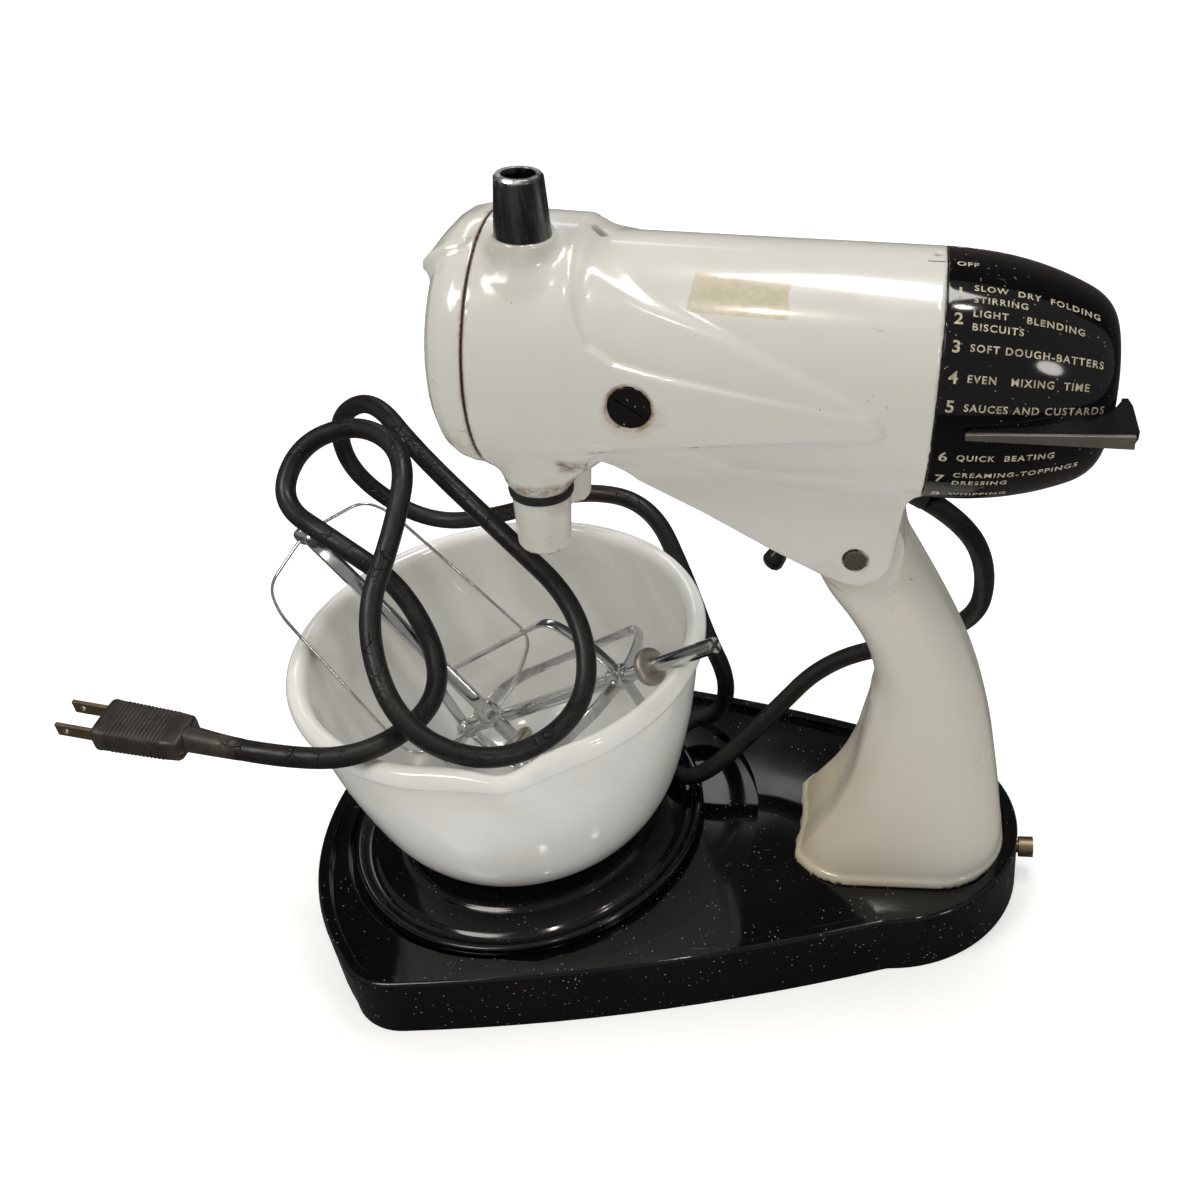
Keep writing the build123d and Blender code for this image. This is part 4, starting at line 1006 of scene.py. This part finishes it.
def plug_mesh():
    """Moulded plug: rounded rear, ribbed grips on both edges and a flat face around the blades."""
    # Each section: place along the plug, two half widths and how round its corners are.
    sections = [(-0.6, 8.0, 5.4, 0.4), (0.0, 10.0, 6.6, 0.3), (1.0, 10.8, 7.0, 0.2), (5.0, 11.2, 7.2, 0.2)]
    for k in range(GRIP_STEPS + 1):
        s = GRIP_START + GRIP_LENGTH * k / GRIP_STEPS
        wider = s / PLUG_LENGTH
        grip = 0.30 * math.cos(2 * math.pi * (s - GRIP_START) / GRIP_PITCH) if 7 < s < 31 else 0.0
        sections.append((s, 11.2 + 1.1 * wider + grip, 7.1 + 0.7 * wider + 0.3 * grip, 0.2))
    sections += [(35, 12.4, 8, 0.2), (36.2, 12.3, 7.9, 0.2), (36.9, 11.9, 7.5, 0.25), (37, 11, 6.8, 0.3)]
    vertices = []
    for s, a, b, roundness in sections:
        power = 2 / (2.0 + 5.0 * (1 - roundness))
        a, b = PLUG_SLIM_A * a, PLUG_SLIM_B * b
        for k in range(PLUG_SIDES):
            t = 2 * math.pi * k / PLUG_SIDES
            c, d = math.cos(t), math.sin(t)
            vertices.append((a * math.copysign(abs(c) ** power, c), b * math.copysign(abs(d) ** power, d), s))
    faces = ring_faces(len(sections), PLUG_SIDES)
    return mesh_object("plug_moulding", plug_place(vertices), faces, plug_rubber)


plug = plug_mesh()
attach(plug, "stand")
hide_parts("plug_body")
# The relief thickens over the last stretch of the cord.
last = cord_points[np.linalg.norm(cord_points - cord_points[-1], axis=1) < 0.024]
ends = np.vstack([last, plug_place([(0, 0, 0.4)])])
grow = np.linspace(0, 1, len(ends)) ** 1.5
relief = tube("plug_relief", ends, [(4.62 + 1.35 * g) * MM for g in grow], plug_rubber)
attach(relief, "stand")

# -------------------- finishes on the remaining pieces
FINISHES = (
    (black_stand, "base_casting"),
    (brass, "rear_screw", "plug_blades"),
    (foot_rubber, "rubber_feet", "cord_gland", "oil_ring"),
    (pin_metal, "hinge_pin"),
    (cone, "juicer_cone"),
    (black_cap, "brush_cap_near", "brush_cap_far"),
    (tab_top, "dial_tab"),
    (nickel, "dial_tab_trim", "head_latch", "latch_pin"),
    (chrome, "beater_a_shaft", "beater_b_shaft"),
    (plain("lamination_steel", (0.22, 0.22, 0.23), 0.4, 0.9), "armature_core"),
    (plain("field_laminations", (0.20, 0.20, 0.21), 0.4, 0.9), "field_stack"),
    (plain("copper_enamel", (0.45, 0.16, 0.06), 0.35, 0.8), "armature_windings"),
    (plain("copper_coils", (0.40, 0.15, 0.07), 0.4, 0.8), "field_coils"),
    (plain("commutator_copper", (0.60, 0.30, 0.16), 0.3, 1.0), "commutator"),
    (plain("carbon_grey", (0.03, 0.03, 0.03), 0.5), "brush_near", "brush_far"),
    (plain("fibre_brown", (0.22, 0.13, 0.06), 0.5), "worm_gear_near", "worm_gear_far"),
    (plain("fan_aluminium", (0.55, 0.56, 0.57), 0.35, 1.0), "cooling_fan"),
    (plain("bronze_bush", (0.45, 0.26, 0.10), 0.32, 1.0), "front_bush", "middle_bush", "rear_bush",
     "lower_bush_near", "lower_bush_far", "upper_bush_near", "upper_bush_far", "brush_holder_near",
     "brush_holder_far"),
)
finish = {name: material for material, *names in FINISHES for name in names}
for name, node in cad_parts.items():
    node.data.materials.clear()
    node.data.materials.append(finish.get(name, steel))


# -------------------- surroundings
def floor_material():
    """White paper that glossy surfaces see as a dark room."""
    m = Mat("paper_floor")
    tone = m.ramp(m.noise(3.0, 4.0), 0.3, 0.7)
    m.set(Base_Color=m.mix(tone, (0.90, 0.90, 0.895), (0.87, 0.872, 0.87)), Roughness=0.7,
          Specular_IOR_Level=0.2, Emission_Color=(1.0, 1.0, 1.0))
    path = m.node("LightPath")
    glossy = path.outputs["Is Glossy Ray"]
    m.link(m.times(m.minus(1.0, glossy), 0.42), m.shader, "Emission Strength")
    room = m.node("BsdfDiffuse")
    room.inputs["Color"].default_value = (0.10, 0.095, 0.09, 1.0)
    swap = m.node("MixShader")
    m.link(glossy, swap, 0)
    m.link(m.shader.outputs["BSDF"], swap, 1)
    m.link(room.outputs["BSDF"], swap, 2)
    m.link(swap.outputs["Shader"], m.out, "Surface")
    return m.material


def make_floor():
    """Level floor that curves up into a back wall."""
    bend_y, bend_radius = 0.55, 0.5
    curve = [(bend_y + bend_radius * math.sin(t), bend_radius - bend_radius * math.cos(t))
             for t in np.linspace(0.1, 1.57, 14)]
    line = [(-1.6, 0.0), (bend_y, 0.0), *curve, (1.06, 2.4)]
    vertices = [(x, y, z) for x in (-2.6, 2.8) for y, z in line]
    faces = [(k, k + 1, len(line) + k + 1, len(line) + k) for k in range(len(line) - 1)]
    return mesh_object("floor", vertices, faces, floor_material())


make_floor()


def area(name, location, target, size, power, tint):
    data = bpy.data.lights.new(name, "AREA")
    data.shape = "RECTANGLE" if size[0] > 0.3 else "ELLIPSE"
    data.size, data.size_y = size
    data.energy = power
    data.color = tint
    light = add_object(name, data)
    light.location = location
    light.rotation_euler = (Vector(target) - Vector(location)).to_track_quat("-Z", "Y").to_euler()


area("key", (-0.50, -0.50, 1.20), (0.03, 0, 0.12), (0.45, 0.35), 5.2, (1.0, 0.965, 0.91))
area("fill", (1.05, -0.75, 0.85), (0.08, 0, 0.15), (0.20, 0.26), 1.7, (1.0, 0.965, 0.91))
area("top", (0.28, 0.22, 1.35), (0.08, 0, 0.1), (0.40, 0.25), 4.2, (1.0, 0.985, 0.96))
area("back", (-0.2, 1.1, 0.9), (0.05, 0, 0.15), (0.7, 0.4), 2.4, (0.95, 0.98, 1.0))
area("lamp_one", (0.12, -0.38, 1.30), (0.1, 0, 0.2), (0.05, 0.05), 0.8, (1.0, 0.93, 0.82))
area("lamp_two", (0.42, -0.05, 1.25), (0.15, 0, 0.2), (0.05, 0.05), 0.8, (1.0, 0.95, 0.86))
world = bpy.data.worlds.new("room")
world.use_nodes = True
background = world.node_tree.nodes["Background"]
background.inputs["Color"].default_value = (0.92, 0.91, 0.885, 1)
background.inputs["Strength"].default_value = 0.30
bpy.context.scene.world = world
bpy.context.scene.view_settings.view_transform = "Standard"
